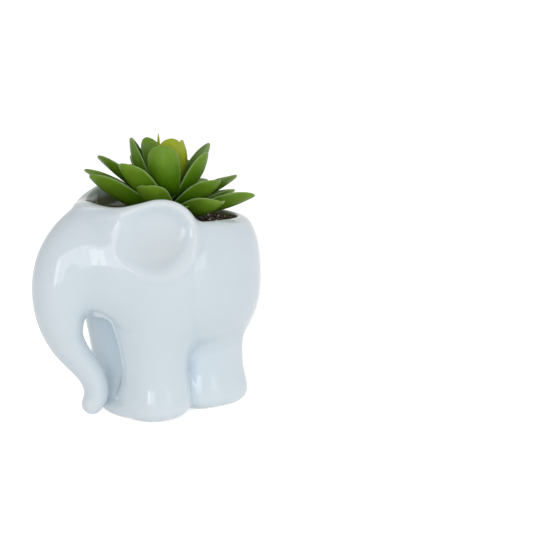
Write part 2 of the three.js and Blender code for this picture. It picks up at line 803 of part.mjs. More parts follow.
// One fleshy leaf: spoon-shaped in plan, a crescent across, hollow side up and in, from inside the hub to its tip.
function leafGeometry(turn, reachShare, riseShare, widthShare, sagShare, roll) {
  const [reach, rise, width, sag] = [reachShare, riseShare, widthShare, sagShare].map((v) => v * rosetteRadius);
  const angle = THREE.MathUtils.degToRad(turn);
  const tilt = THREE.MathUtils.degToRad(roll);
  const start = (hubRadius + stemRadius + hubClearance) / 2 - 0.3;
  const length = Math.hypot(reach - start, rise);
  const along = [(reach - start) / length, rise / length];
  const out = [Math.cos(angle), Math.sin(angle)];
  const place = (t, across, over) => {
    const aside = across * Math.cos(tilt) - over * Math.sin(tilt);
    const drop = across * Math.sin(tilt) + over * Math.cos(tilt) - sag * 4 * t * (1 - t);
    const r = start + along[0] * length * t - along[1] * drop;
    const z = along[1] * length * t + along[0] * drop;
    return [r * out[0] - aside * out[1], r * out[1] + aside * out[0], z];
  };
  const steps = [0, 0.16, 0.37, 0.58, 0.77, 0.91, 0.98];
  const points = [];
  const faces = [];
  for (const t of steps) {
    const before = Math.sin((Math.PI / 2) * Math.min(t / leafWidest, 1));
    const after = Math.max(t - leafWidest, 0) / (1 - leafWidest);
    const half = (width / 2) * (leafWaist + (1 - leafWaist) * before) * (1 - after ** 2.4) ** 0.6;
    const full = Math.min(leafThickness, width) * (0.6 + 0.4 * before) * (1 - 0.6 * after ** 2);
    const thick = Math.min(full, 1.3 * half);
    for (const [v, side] of [[-1, 0], [-0.55, 1], [0, 1], [0.55, 1], [1, 0], [0.55, -1], [0, -1], [-0.55, -1]]) {
      const cup = leafCup * half * v * v * before * (1 - 0.5 * after ** 2);
      points.push(place(t, v * half, cup + (side * thick * Math.sqrt(1 - v * v)) / 2));
    }
  }
  for (let k = 0; k + 1 < steps.length; k++) {
    for (let i = 0; i < 8; i++) {
      const [a, b] = [8 * k + i, 8 * k + ((i + 1) % 8)];
      faces.push([a, b + 8, b], [a, a + 8, b + 8]);
    }
  }
  const tip = points.push(place(1, 0, 0)) - 1;
  for (let i = 0; i < 8; i++) faces.push([tip - 8 + i, tip, tip - 8 + ((i + 1) % 8)]);
  for (let i = 1; i < 7; i++) faces.push([0, i, i + 1]);
  return toGeometry(points, faces);
}

const wasm = await Module();
wasm.setup();

function toSolid(geometry) {
  const plain = geometry.clone();
  plain.deleteAttribute("normal");
  plain.deleteAttribute("uv");
  const merged = mergeVertices(plain);
  return new wasm.Manifold(
    new wasm.Mesh({
      numProp: 3,
      vertProperties: Float32Array.from(merged.attributes.position.array),
      triVerts: Uint32Array.from(merged.index.array),
    }),
  );
}

function fromSolid(solid) {
  const mesh = solid.getMesh();
  const geometry = new THREE.BufferGeometry();
  geometry.setAttribute("position", new THREE.BufferAttribute(Float32Array.from(mesh.vertProperties), 3));
  geometry.setIndex(new THREE.BufferAttribute(Uint32Array.from(mesh.triVerts), 1));
  geometry.computeVertexNormals();
  return geometry;
}

// A disc or rod standing on z = 0 about the Z axis.
function rod(radius, height) {
  const geometry = new THREE.CylinderGeometry(radius, radius, height, 16);
  geometry.rotateX(Math.PI / 2);
  geometry.translate(0, 0, height / 2);
  return geometry;
}

// Leaves of one whorl, fused to a hub with a bore for the stem and, below another whorl, a seat for its hub. The
// middle of the hub is at z = 0.
function whorlGeometry(leaves, isLast) {
  const hub = rod(hubRadius, hubHeight);
  hub.translate(0, 0, -hubHeight / 2);
  let solid = toSolid(hub);
  for (const leaf of leaves) solid = solid.add(toSolid(leafGeometry(...leaf)));
  const bore = rod(stemRadius + hubClearance, 4 * hubHeight);
  bore.translate(0, 0, -2 * hubHeight);
  const seat = rod(hubRadius + hubClearance, 4 * hubHeight);
  seat.translate(0, 0, hubHeight / 2);
  solid = solid.subtract(toSolid(bore));
  return fromSolid(isLast ? solid : solid.subtract(toSolid(seat)));
}

const planter = new THREE.Group();
planter.name = "elephant_planter";

function addPiece(name, geometry, colour, roughness, height = 0) {
  const material = new THREE.MeshStandardMaterial({ color: colour, roughness, metalness: 0 });
  const piece = new THREE.Mesh(geometry, material);
  piece.name = name;
  piece.position.z = height;
  planter.add(piece);
  return piece;
}

addPiece("elephant_pot", potGeometry(), "#dfe6ea", 0.12);

const stemHole = stemRadius + hubClearance;
const foamBottom = insideFloor + foamLift;
const foamLevels = Array.from({ length: foamRings }, (_, i) => {
  const rise = i / (foamRings - 1);
  return [foamBottom + (foamTop - foamBottom) * rise, foamFoot + (1 - foamFoot) * rise];
});
addPiece("foam_plug", fillingGeometry(foamLevels, foamClearance, 0, stemHole, () => 0), "#2f3a2c", 0.95);

const grain = (angle, k) => gritBump * Math.sin(7 * angle + 2.3 * k) * Math.cos(3 * angle - 1.7 * k);
const gritLevels = [
  [foamTop + fitClearance, 1],
  [gritTop, 1],
];
addPiece("grit_layer", fillingGeometry(gritLevels, fitClearance, 4, stemHole, grain), "#5b4632", 1);

// The stem runs from inside the foam to just under the bud's tips, with the collar over the grit.
const collarHeight = gritTop + gritBump + fitClearance;
const whorlPitch = hubHeight + hubGap;
const firstHub = collarHeight + collarThickness + hubGap + hubHeight / 2;
const stemBottom = gritTop - stemDepth;
const stemTop = firstHub + (whorls.length - 1) * whorlPitch + hubHeight / 2 + stemAbove;
const stemProfile = [
  [0, stemBottom],
  [stemRadius * stemTaper, stemBottom],
  [stemRadius, stemBottom + stemPoint],
  [stemRadius, collarHeight],
  [collarRadius, collarHeight],
  [collarRadius, collarHeight + collarThickness],
  [stemRadius, collarHeight + collarThickness],
  [stemRadius, stemTop - stemChamfer],
  [stemRadius - stemChamfer, stemTop],
  [0, stemTop],
];
const stem = new THREE.LatheGeometry(stemProfile.map(([r, z]) => new THREE.Vector2(r, z)), 16);
stem.rotateX(Math.PI / 2);
addPiece("plant_stem", stem, "#3f6b25", 0.6).position.set(stemX, stemY, 0);

whorls.forEach(({ name, colour, leaves }, i) => {
  const geometry = whorlGeometry(leaves, i === whorls.length - 1);
  const piece = addPiece(name, geometry, colour, 0.45, firstHub + i * whorlPitch);
  piece.position.x = stemX;
  piece.position.y = stemY;
});

// The origin moves to the middle of the whole outline.
const outline = new THREE.Box3().setFromObject(planter);
planter.position.y = -(outline.min.y + outline.max.y) / 2;

export default planter;
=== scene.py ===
import bpy
import math
import numpy as np
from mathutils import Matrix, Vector


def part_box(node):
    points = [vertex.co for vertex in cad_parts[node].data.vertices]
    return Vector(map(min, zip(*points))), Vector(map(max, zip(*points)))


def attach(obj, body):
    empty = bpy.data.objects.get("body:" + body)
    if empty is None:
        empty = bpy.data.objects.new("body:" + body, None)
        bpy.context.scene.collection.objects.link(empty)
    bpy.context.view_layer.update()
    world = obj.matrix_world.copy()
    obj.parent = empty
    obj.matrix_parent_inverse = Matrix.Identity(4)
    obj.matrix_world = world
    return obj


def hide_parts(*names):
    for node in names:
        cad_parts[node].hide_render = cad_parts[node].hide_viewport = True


# Elephant planter: a glazed slip casting with a moulded plastic succulent in grit.
# Lengths in the dictionaries are millimetres, and metres in the studio's. The elephant's own Y starts
# between its four legs.

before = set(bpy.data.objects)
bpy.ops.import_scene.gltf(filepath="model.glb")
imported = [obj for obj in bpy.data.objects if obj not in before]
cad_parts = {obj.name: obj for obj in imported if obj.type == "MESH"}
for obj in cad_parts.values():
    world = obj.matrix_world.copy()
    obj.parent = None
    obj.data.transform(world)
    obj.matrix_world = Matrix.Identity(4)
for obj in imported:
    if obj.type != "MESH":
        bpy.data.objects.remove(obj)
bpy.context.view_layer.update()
millimetre = 0.001
rng = np.random.default_rng(7)
print("frame loaded:", sorted(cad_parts))

plant = dict(
    stemX=0, stemY=1.5, stemRadius=1.3, stemAbove=1,
    hubRadius=3.3, hubHeight=3.6, hubGap=0.1, hubClearance=0.15, hubBevel=0.3, hubSides=32, hubOverlap=0.3,
    rosetteRadius=40, leafThickness=3, leafCup=0.52, leafWidest=0.6, fullness=1.07, fullWaist=0.7,
    tipPower=3, tipRounding=0.55, rootThickness=0.6, tipThinning=0.6, thickestShare=1.3, cupFade=0.5,
    groove=0.16, grooveWidth=0.22, waveHeight=0.12, waves=7,
    stations=32, sides=32, stationCrowding=1.35, lastStation=0.9985, sideCrowding=0.9,
)

stemLow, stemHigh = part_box("plant_stem")
# how far the point between the legs lies behind the frame's origin
setBack = (stemLow.y + stemHigh.y) / 2 / millimetre - plant["stemY"]


def toFrame(points):
    # from the elephant's own millimetres to metres in the frame
    return (np.asarray(points, float) + [0, setBack, 0]) * millimetre


def linear(hexColour):
    # sRGB hex to the linear colour that the nodes take
    part = [int(hexColour[i:i + 2], 16) / 255 for i in (1, 3, 5)]
    return [c / 12.92 if c <= 0.04045 else ((c + 0.055) / 1.055) ** 2.4 for c in part] + [1.0]


def addNode(tree, kind, settings=None, links=None):
    # settings are properties, input values by name or number, or a ramp's stops, and links are pairs of an
    # input and the socket that feeds it
    node = tree.nodes.new(kind)
    for name, value in (settings or {}).items():
        if name == "stops":
            elements = node.color_ramp.elements
            while len(elements) < len(value):
                elements.new(0.5)
            for element, (place, colour) in zip(elements, value):
                element.position = place
                element.color = linear(colour)
        elif isinstance(name, int) or name in node.inputs:
            node.inputs[name].default_value = value
        else:
            setattr(node, name, value)
    for name, socket in (links or []):
        tree.links.new(socket, node.inputs[name])
    return node


# in a mix of colours input 0 is the share of the second, 6 and 7 are the two, and outputs[2] is the result
overlay = {"data_type": "RGBA", "blend_type": "OVERLAY"}
multiply = {"data_type": "RGBA", "blend_type": "MULTIPLY"}
blended = {"data_type": "RGBA", "blend_type": "MIX"}


def scaleFor(size):
    # a pattern's scale, from the size of what it shows in millimetres
    return 1 / (size * millimetre)


def newMaterial(name):
    material = bpy.data.materials.new(name)
    material.use_nodes = True
    material.node_tree.nodes.clear()
    return material, material.node_tree


def meshPiece(name, points, faces, attributes=None, normals=None):
    # points in the elephant's own millimetres, and faces as an array or as a list of mixed lengths
    mesh = bpy.data.meshes.new(name)
    corners = faces.tolist() if isinstance(faces, np.ndarray) else faces
    mesh.from_pydata(toFrame(points).tolist(), [], corners)
    for key, values in (attributes or {}).items():
        column = mesh.attributes.new(key, "FLOAT", "POINT")
        column.data.foreach_set("value", np.asarray(values, np.float32))
    mesh.shade_smooth()
    if normals is not None:
        mesh.normals_split_custom_set_from_vertices(normals.tolist())
    piece = bpy.data.objects.new(name, mesh)
    bpy.context.scene.collection.objects.link(piece)
    return piece


def finishPiece(piece, material, slotName, *replaced):
    piece.data.materials.append(material)
    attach(piece, "root")
    if replaced:
        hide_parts(*replaced)


# Camera: a long lens 0.7 m from the pot, panned so that the pot stands left of the middle of the frame.
view = dict(
    azimuth=59, elevation=12.6, distance=700, target=(0, 0, 60), focal=1491, frameWidth=540,
    targetPixel=(166, 276.5), sensor=36, near=10, far=50000,
)


def outwards(azimuth, elevation):
    # the way from the pot to a viewer or lamp; azimuth 0 is in front of the elephant, 90 on its left
    turn, climb = math.radians(azimuth), math.radians(elevation)
    return Vector((math.sin(turn) * math.cos(climb), -math.cos(turn) * math.cos(climb), math.sin(climb)))


def makeCamera():
    back = outwards(view["azimuth"], view["elevation"])
    turn = math.radians(view["azimuth"])
    right = Vector((math.cos(turn), math.sin(turn), 0))
    up = back.cross(right)
    target = Vector(toFrame(view["target"]))
    middle = view["frameWidth"] / 2
    reach = view["distance"] * millimetre
    aside = (middle - view["targetPixel"][0]) / view["focal"] * reach
    above = (view["targetPixel"][1] - middle) / view["focal"] * reach
    place = target + back * reach
    aim = target + right * aside + up * above
    data = bpy.data.cameras.new("camera")
    data.sensor_width = view["sensor"]
    data.lens = view["focal"] * view["sensor"] / view["frameWidth"]
    data.clip_start, data.clip_end = view["near"] * millimetre, view["far"] * millimetre
    camera = bpy.data.objects.new("camera", data)
    camera.location = place
    camera.rotation_mode = "QUATERNION"
    camera.rotation_quaternion = (aim - place).to_track_quat("-Z", "Y")
    bpy.context.scene.collection.objects.link(camera)
    bpy.context.scene.camera = camera


makeCamera()
print("camera placed")


# Pot: one slip casting, worked out as a distance from its surface, negative inside the clay.
pot = dict(
    bodyWidth=74, bodyLength=83, bodySetBack=4, girthHeight=60, backRise=40, backEnd=0.97,
    bellyHeight=14, bellyRounding=8, planRoundness=2.2, backRoundness=2.8,
    tuckDrop=30, tuckEnd=44, flankTuck=0.407, flankTuckPower=2.3, rumpTuck=0.17, rumpTuckPower=2.4,
    headWidth=46, headLength=50, headDepth=56, headForward=30, headHeight=73,
    # a station of the trunk is its reach forward, height and radius, as shares of these three
    trunkRoot=40, trunkReach=16.4, trunkTop=90, trunkRadius=12, trunkBlend=5, foreheadBlend=6, ballsEach=6,
    trunkStations=(
        (0, 1, 0.458), (0.463, 0.971, 0.57), (0.768, 0.907, 0.7), (0.939, 0.833, 0.85), (1, 0.739, 0.967),
        (0.976, 0.633, 1), (0.945, 0.544, 0.9), (0.896, 0.464, 0.72), (0.726, 0.391, 0.633),
        (0.384, 0.306, 0.542), (0.037, 0.228, 0.508), (-0.134, 0.147, 0.4875), (-0.085, 0.0956, 0.467),
        (0.037, 0.0667, 0.408)),
    # a leg is its x, y, half width, half length, foot spread, roundness and the blend with its pair
    frontLeg=(13.5, -15.6, 15.6, 15.2, 1.8, 2.1, 7), rearLeg=(10.2, 15.9, 14, 15.7, 2, 3, 3), hipBlend=3.5,
    shoulderBlend=12, shoulderBackBlend=4, shoulderFadeY=-6, shoulderFade=4.5,
    legTop=66, footSpreadHeight=7, footSpreadReach=8, soleRounding=6.4,
    chestHalfSize=(8.5, 14, 19), chestCentre=(0, -38, 31), chestBlend=9,
    toeHalfSize=(13, 8, 5.5), toeCentre=(0, -25, 3.5), toeBlend=4,
    archHalfSize=(6.5, 10, 7), archBlend=5,
    chinHeight=56, chinFade=4, chinInner=5, cheekDrop=1.1, chinBlend=1.5, cheekBlend=12,
    earX=31, earY=-21.6, earHeight=85.1, earTurn=58, earRadius=17.6, earRootForward=27, earRootRise=3.6,
    earRootRadius=7.8, earThickness=5.6, earFlare=0.1, earDish=4.4, earDishSpread=0.72,
    earEdge=3, earInset=3, earEase=0.85, earBlend=3,
    dishForward=3, dishRaise=2, dishInset=3.6, dishFade=0.22, dishFadeFrom=2, dishFadeBlend=6, dishBlend=4,
    dishWall=3.4,
    mouthWidth=55, mouthLength=73.4, mouthSetBack=-1,
    rimHeight=92.2, rimSlope=0.155, rimBow=0.0013, rimRounding=3, rimEase=0.97, lipDepth=6,
    wall=3.6, legWall=4, legWeb=3.5, insideFloor=24, legFloor=5.5, insideRounding=12, hollowBlend=4,
    wellBottom=72, wellRounding=6, wellBlend=3, lipRounding=1.6,
    gridStep=0.8, margin=2.4, cellsBelow=2.4, normalReach=0.25, curveReach=1.1,
)
leastGrade, leastLegGrade = 1 / 60, 1 / 30  # keep the fields finite on the axes of the rounds


def softMin(a, b, k):
    # the nearer of two surfaces, with a fillet about k wide where they meet
    h = np.maximum(k - np.abs(a - b), 0) / k
    return np.minimum(a, b) - h * h * k * 0.25


def softMax(a, b, k):
    # the farther of two, which keeps only what both hold, with its edge rounded
    return -softMin(-a, -b, k)


def ease(v):
    # from 0 well below 0 to 1 well above it
    return 1 / (1 + np.exp(-np.clip(v, -40, 40)))


def ellipsoid(x, y, z, centre, half):
    px, py, pz = (x - centre[0]) / half[0], (y - centre[1]) / half[1], (z - centre[2]) / half[2]
    k0 = np.sqrt(px * px + py * py + pz * pz)
    k1 = np.sqrt((px / half[0]) ** 2 + (py / half[1]) ** 2 + (pz / half[2]) ** 2)
    return k0 * (k0 - 1) / np.maximum(k1, 1e-9)


def bodyField(x, y, z):
    # an egg-shaped body, rounded over the back and tucked in under the flanks and the rump
    m = pot["planRoundness"]
    halfWidth, halfLength = pot["bodyWidth"] / 2, pot["bodyLength"] / 2
    drop = pot["girthHeight"] - z
    px = np.maximum(np.abs(x) / halfWidth, 1e-6)
    py = np.maximum(np.abs(y - pot["bodySetBack"]) / halfLength, 1e-6)
    wx, wy = px ** m, py ** m
    q = wx + wy
    rho = q ** (1 / m)
    steep = q ** (1 / m - 1) * np.hypot(px ** (m - 1) / halfWidth, py ** (m - 1) / halfLength)
    grade = np.maximum(steep, leastGrade)
    s = np.clip(drop, 0, pot["tuckEnd"])
    share = wx / q
    powerX, powerY = pot["flankTuckPower"], pot["rumpTuckPower"]
    inX = pot["flankTuck"] / pot["tuckDrop"] ** powerX
    inY = pot["rumpTuck"] / pot["tuckDrop"] ** powerY
    lowSize = 1 - share * inX * s ** powerX - (1 - share) * inY * s ** powerY
    lowLean = share * inX * powerX * s ** (powerX - 1) + (1 - share) * inY * powerY * s ** (powerY - 1)
    n, rise, end = pot["backRoundness"], pot["backRise"], pot["backEnd"]
    t = np.clip(-drop / rise, 0, end)
    u = 1 - t ** n
    highLean = u ** (1 / n - 1) * t ** (n - 1) / rise
    highSize = u ** (1 / n) - np.maximum(-drop - end * rise, 0) * highLean
    size, lean = np.where(drop > 0, lowSize, highSize), np.where(drop > 0, lowLean, highLean)
    d = (rho - size) / np.hypot(grade, lean)
    d = np.maximum(np.maximum(d, (rho - 1) / grade), z - pot["girthHeight"] - rise)
    return softMax(d, pot["bellyHeight"] - z, pot["bellyRounding"])


def trunkBalls():
    # the trunk's centre line and radius, as balls along a cubic B-spline through the stations
    root, reach, top = pot["trunkRoot"], pot["trunkReach"], pot["trunkTop"]
    stations = np.array([
        (-root - reach * forward, top * height, pot["trunkRadius"] * girth)
        for forward, height, girth in pot["trunkStations"]])
    line = np.vstack([2 * stations[0] - stations[1], stations, 2 * stations[-1] - stations[-2]])
    balls = []
    for i in range(len(line) - 3):
        for t in np.arange(pot["ballsEach"]) / pot["ballsEach"]:
            weights = np.array([
                (1 - t) ** 3, 3 * t ** 3 - 6 * t * t + 4, -3 * t ** 3 + 3 * t * t + 3 * t + 1, t ** 3])
            balls.append(weights @ line[i:i + 4] / 6)
    return np.array(balls + [stations[-1]])


trunkLine = trunkBalls()
trunkNear, trunkFar = -8, 30.0  # behind the first the trunk doesn't matter, and counts as so far away


def trunkField(x, y, z):
    # the skin over the balls, smoothed by a parabola through the nearest three
    result = np.full(x.shape, trunkFar)
    near = y < trunkNear
    px, py, pz = x[near], y[near], z[near]
    if not len(px):
        return result
    away, above = py[:, None] - trunkLine[:, 0], pz[:, None] - trunkLine[:, 1]
    reach = np.sqrt(px[:, None] ** 2 + away ** 2 + above ** 2) - trunkLine[:, 2]
    best = np.clip(reach.argmin(1), 1, len(trunkLine) - 2)
    row = np.arange(len(px))
    a, b, c = reach[row, best - 1], reach[row, best], reach[row, best + 1]
    bend = a - 2 * b + c
    t = np.clip((a - c) / np.maximum(2 * bend, 1e-6), -1, 1)
    result[near] = b - 0.5 * t * (a - c) + 0.5 * bend * t * t
    return result


def pillars(x, y, z, leg):
    # a pair of legs, upright and rounded, that spread at the foot and join between
    legX, legY, halfWidth, halfLength, spread, roundness, pairBlend = leg
    flare = spread * np.exp(-((z - pot["footSpreadHeight"]) / pot["footSpreadReach"]) ** 2)
    p, q = halfWidth + flare, halfLength + flare
    sides = []
    for side in (-1, 1):
        px = np.maximum(np.abs(x - side * legX) / p, 1e-6)
        py = np.maximum(np.abs(y - legY) / q, 1e-6)
        total = px ** roundness + py ** roundness
        lean = np.hypot(px ** (roundness - 1) / p, py ** (roundness - 1) / q)
        steep = total ** (1 / roundness - 1) * lean
        sides.append((total ** (1 / roundness) - 1) / np.maximum(steep, leastLegGrade))
    d = softMin(sides[0], sides[1], pairBlend)
    return softMax(d, np.maximum(-z, z - pot["legTop"]), pot["soleRounding"])


def legHollows(x, y):
    # the hollows down the legs that the slip leaves when it is poured out
    hollows = []
    for legX, legY, halfWidth, halfLength, *_ in (pot["frontLeg"], pot["rearLeg"]):
        p, q = halfWidth - pot["legWall"], halfLength - pot["legWall"]
        hollows.append(ellipsoid(np.abs(x) - legX, y - legY, 0 * x, (0, 0, 0), (p, q, p)))
    return np.minimum(*hollows)


def mouthField(x, y):
    # how far a place lies outside the oval mouth, seen from above
    halfWidth, halfLength = pot["mouthWidth"] / 2, pot["mouthLength"] / 2
    px, py = x / halfWidth, (y - pot["mouthSetBack"]) / halfLength
    rho = np.maximum(np.hypot(px, py), 1e-6)
    grade = np.hypot(px / halfWidth, py / halfLength) / rho
    return (rho - 1) / np.maximum(grade, leastGrade)


def earFields(x, y, z):
    # the flap, and the dish that is scooped out of it and of the cheek under it
    turn = math.radians(pot["earTurn"])
    across = (np.abs(x) - pot["earX"]) * math.cos(turn) + (y - pot["earY"]) * math.sin(turn)
    up = z - pot["earHeight"]
    span = math.hypot(pot["earRootForward"], pot["earRootRise"])
    ex, ey = -pot["earRootForward"] / span, pot["earRootRise"] / span
    along = across * ex + up * ey
    aside = np.abs(-across * ey + up * ex)
    taper = (pot["earRadius"] - pot["earRootRadius"]) / span
    slope = math.sqrt(1 - taper * taper)
    side = -taper * aside + slope * along
    outline = np.where(
        side < 0, np.hypot(aside, along) - pot["earRadius"],
        np.where(side > slope * span, np.hypot(aside, along - span) - pot["earRootRadius"],
                 aside * slope + along * taper - pot["earRadius"]))
    outward = mouthField(x, y)
    spread = (across * across + up * up) / pot["earRadius"] ** 2
    dish = pot["earDish"] * np.exp(-((spread / pot["earDishSpread"]) ** 2))
    face = pot["earThickness"] + pot["earFlare"] * (pot["earRadius"] - up) - dish
    edge = pot["earEdge"]
    a, b = outline + edge, outward - face + edge
    d = np.minimum(np.maximum(a, b), 0) + np.hypot(np.maximum(a, 0), np.maximum(b, 0)) - edge
    disc = np.hypot(across + pot["dishForward"], up - pot["dishRaise"]) - pot["earRadius"]
    disc = softMax(disc, outline, pot["dishBlend"])
    floor = face + pot["dishFade"] * softMax(-across - pot["dishFadeFrom"], 0, pot["dishFadeBlend"])
    hollow = softMax(disc + pot["dishInset"], floor - outward, pot["dishBlend"])
    return np.maximum(d, -outward - pot["earInset"]) * pot["earEase"], hollow * pot["earEase"]


def rimAt(y):
    # the height of the rim, which dips toward the rump
    return pot["rimHeight"] - pot["rimSlope"] * y + pot["rimBow"] * y * y


def potField(x, y, z):
    # first the outside from the feet up, then the hollow behind it, and last the two together
    torso = bodyField(x, y, z)
    chest = ellipsoid(x, y, z, pot["chestCentre"], pot["chestHalfSize"])
    head = ellipsoid(x, y, z, (0, -pot["headForward"], pot["headHeight"]),
                     (pot["headWidth"] / 2, pot["headLength"] / 2, pot["headDepth"] / 2))
    back, fade = pot["shoulderBackBlend"], ease((pot["shoulderFadeY"] - y) / pot["shoulderFade"])
    lower = softMin(torso, pillars(x, y, z, pot["frontLeg"]), back + (pot["shoulderBlend"] - back) * fade)
    lower = softMin(lower, pillars(x, y, z, pot["rearLeg"]), pot["hipBlend"])
    lower = softMax(lower, -chest, pot["chestBlend"])
    lower = softMin(lower, ellipsoid(x, y, z, pot["toeCentre"], pot["toeHalfSize"]), pot["toeBlend"])
    arch = ellipsoid(x, y, z, (0, 0, 0), pot["archHalfSize"])
    lower = softMax(lower, -arch, pot["archBlend"])
    dropped = pot["cheekDrop"] * np.maximum(np.abs(x) - pot["chinInner"], 0)
    aboveChin = ease((z - pot["chinHeight"] + dropped) / pot["chinFade"])
    upper = softMin(head, trunkField(x, y, z), pot["trunkBlend"] + pot["foreheadBlend"] * aboveChin)
    chin = pot["chinBlend"] + pot["cheekBlend"] * aboveChin
    d = softMin(lower, upper, chin)
    d = softMax(d, (z - rimAt(y)) * pot["rimEase"], pot["rimRounding"])
    ear, hollow = earFields(x, y, z)
    d = softMax(softMin(d, ear, pot["earBlend"]), -hollow, pot["dishBlend"])
    shell = softMax(softMin(torso, head, chin), -chest, pot["chestBlend"])
    inside = softMax(shell + pot["wall"], pot["insideFloor"] - z, pot["insideRounding"])
    inside = softMax(inside, z - rimAt(y) + pot["lipDepth"], pot["insideRounding"])
    legs = np.maximum(np.maximum(legHollows(x, y), pot["legWeb"] / 2 - np.abs(x)),
                      np.maximum(pot["legFloor"] - z, z - pot["girthHeight"]))
    inside = softMin(inside, legs, pot["hollowBlend"])
    inside = softMax(inside, pot["wall"] - chest, pot["lipRounding"])
    inside = softMax(inside, pot["wall"] - arch, pot["lipRounding"])
    well = softMax(mouthField(x, y), pot["wellBottom"] - z, pot["wellRounding"])
    inside = softMin(inside, well, pot["wellBlend"])
    inside = softMax(inside, pot["dishWall"] - hollow, pot["lipRounding"])
    return np.maximum(softMax(d, -inside, pot["lipRounding"]), -z)


def fieldGrid(low, high, step):
    # the field level by level, so that it stays small in memory
    xs, ys, zs = (np.arange(low[i], high[i] + step, step) for i in range(3))
    x, y = np.meshgrid(xs, ys, indexing="ij")
    levels = [potField(x.ravel(), y.ravel(), np.full(x.size, z)).reshape(x.shape) for z in zs]
    return np.stack(levels, axis=2)


def surfaceNet(values, low, step):
    # one point in each grid cell that the surface crosses, and one quad round each edge that it crosses
    inside = values < 0
    shape = np.array(values.shape) - 1
    corners = [np.array((i, j, k)) for i in (0, 1) for j in (0, 1) for k in (0, 1)]
    count = np.zeros(shape, np.int8)
    for c in corners:
        count += inside[c[0]:c[0] + shape[0], c[1]:c[1] + shape[1], c[2]:c[2] + shape[2]]
    cells = np.argwhere((count > 0) & (count < 8))
    number = np.full(shape, -1, np.int64)
    number[tuple(cells.T)] = np.arange(len(cells))
    total, share = np.zeros((len(cells), 3)), np.zeros(len(cells))
    for axis in range(3):
        for c in corners:
            if c[axis]:
                continue
            a = cells + c
            b = a + np.eye(3, dtype=int)[axis]
            va, vb = values[tuple(a.T)], values[tuple(b.T)]
            cut = (va < 0) != (vb < 0)
            crossing = a[cut].astype(float)
            crossing[:, axis] += va[cut] / (va[cut] - vb[cut])
            total[cut] += crossing
            share[cut] += 1
    points = np.array(low) + step * total / share[:, None]
    quads = []
    for axis in range(3):
        u, v = np.eye(3, dtype=int)[(axis + 1) % 3], np.eye(3, dtype=int)[(axis + 2) % 3]
        crossed = np.diff(inside.astype(np.int8), axis=axis) != 0
        edges = np.argwhere(crossed)
        atU, atV = edges @ u, edges @ v
        edges = edges[(atU > 0) & (atV > 0) & (atU < shape @ u) & (atV < shape @ v)]
        ring = np.stack([number[tuple(e.T)] for e in (edges, edges - u, edges - u - v, edges - v)], axis=1)
        outward = inside[tuple(edges.T)]
        quads.append(np.where(outward[:, None], ring, ring[:, ::-1]))
    return points, np.vstack(quads)


def slopeAt(points, reach):
    # the field's slope, which points out of the clay
    x, y, z = points.T
    return np.stack([
        potField(x + reach, y, z) - potField(x - reach, y, z),
        potField(x, y + reach, z) - potField(x, y - reach, z),
        potField(x, y, z + reach) - potField(x, y, z - reach)], axis=1) / (2 * reach)


def settle(points, rounds, reach=0.05, stride=0.3):
    # draws the points onto the surface itself
    for _ in range(rounds):
        value = potField(*points.T)
        slope = slopeAt(points, reach)
        steep = np.maximum((slope ** 2).sum(1), 0.05)
        move = np.clip(value / steep, -stride, stride)
        points = points - slope * move[:, None]
    return points


def bendAt(points, reach):
    # how sharply the surface is rounded there: above 0 on a ridge, below 0 in a groove, in 1/mm
    total = -6 * potField(*points.T)
    for axis in range(3):
        for side in (-reach, reach):
            moved = points.copy()
            moved[:, axis] += side
            total += potField(*moved.T)
    return total / reach ** 2


glaze = dict(
    # colours from the bottom of a groove to the top of a ridge, and the bends in 1/mm that count as those
    pooled=((0.0, "#deebf3"), (0.3, "#e3eff5"), (0.42, "#e6f1f7"), (0.75, "#ebf4f8"), (1.0, "#f1f6f9")),
    grooveBend=-0.25, ridgeBend=0.45, iorIndex=1.5, roughness=0.05, bareRoughness=0.8,
    cloudSize=26, cloudTints=("#f8fafd", "#ffffff"), waveSize=11, waveDepth=0.25, waveStrength=0.35,
    # the first two below are a painted shade that greys the ears' dishes, the four after a painted shade
    # and dark reflection on the inner wall under the lip
    dishShadeColour="#dee6ea", dishShadeReach=1.6, innerShadeColour="#8f9675", innerShadeLow=80, innerShadeHigh=99.5, innerShadeFade=3,
    clayGrain=1.2, clayColours=("#cfc6b6", "#e2dccf"), bareHeight=0.5, bareFade=0.3,
)


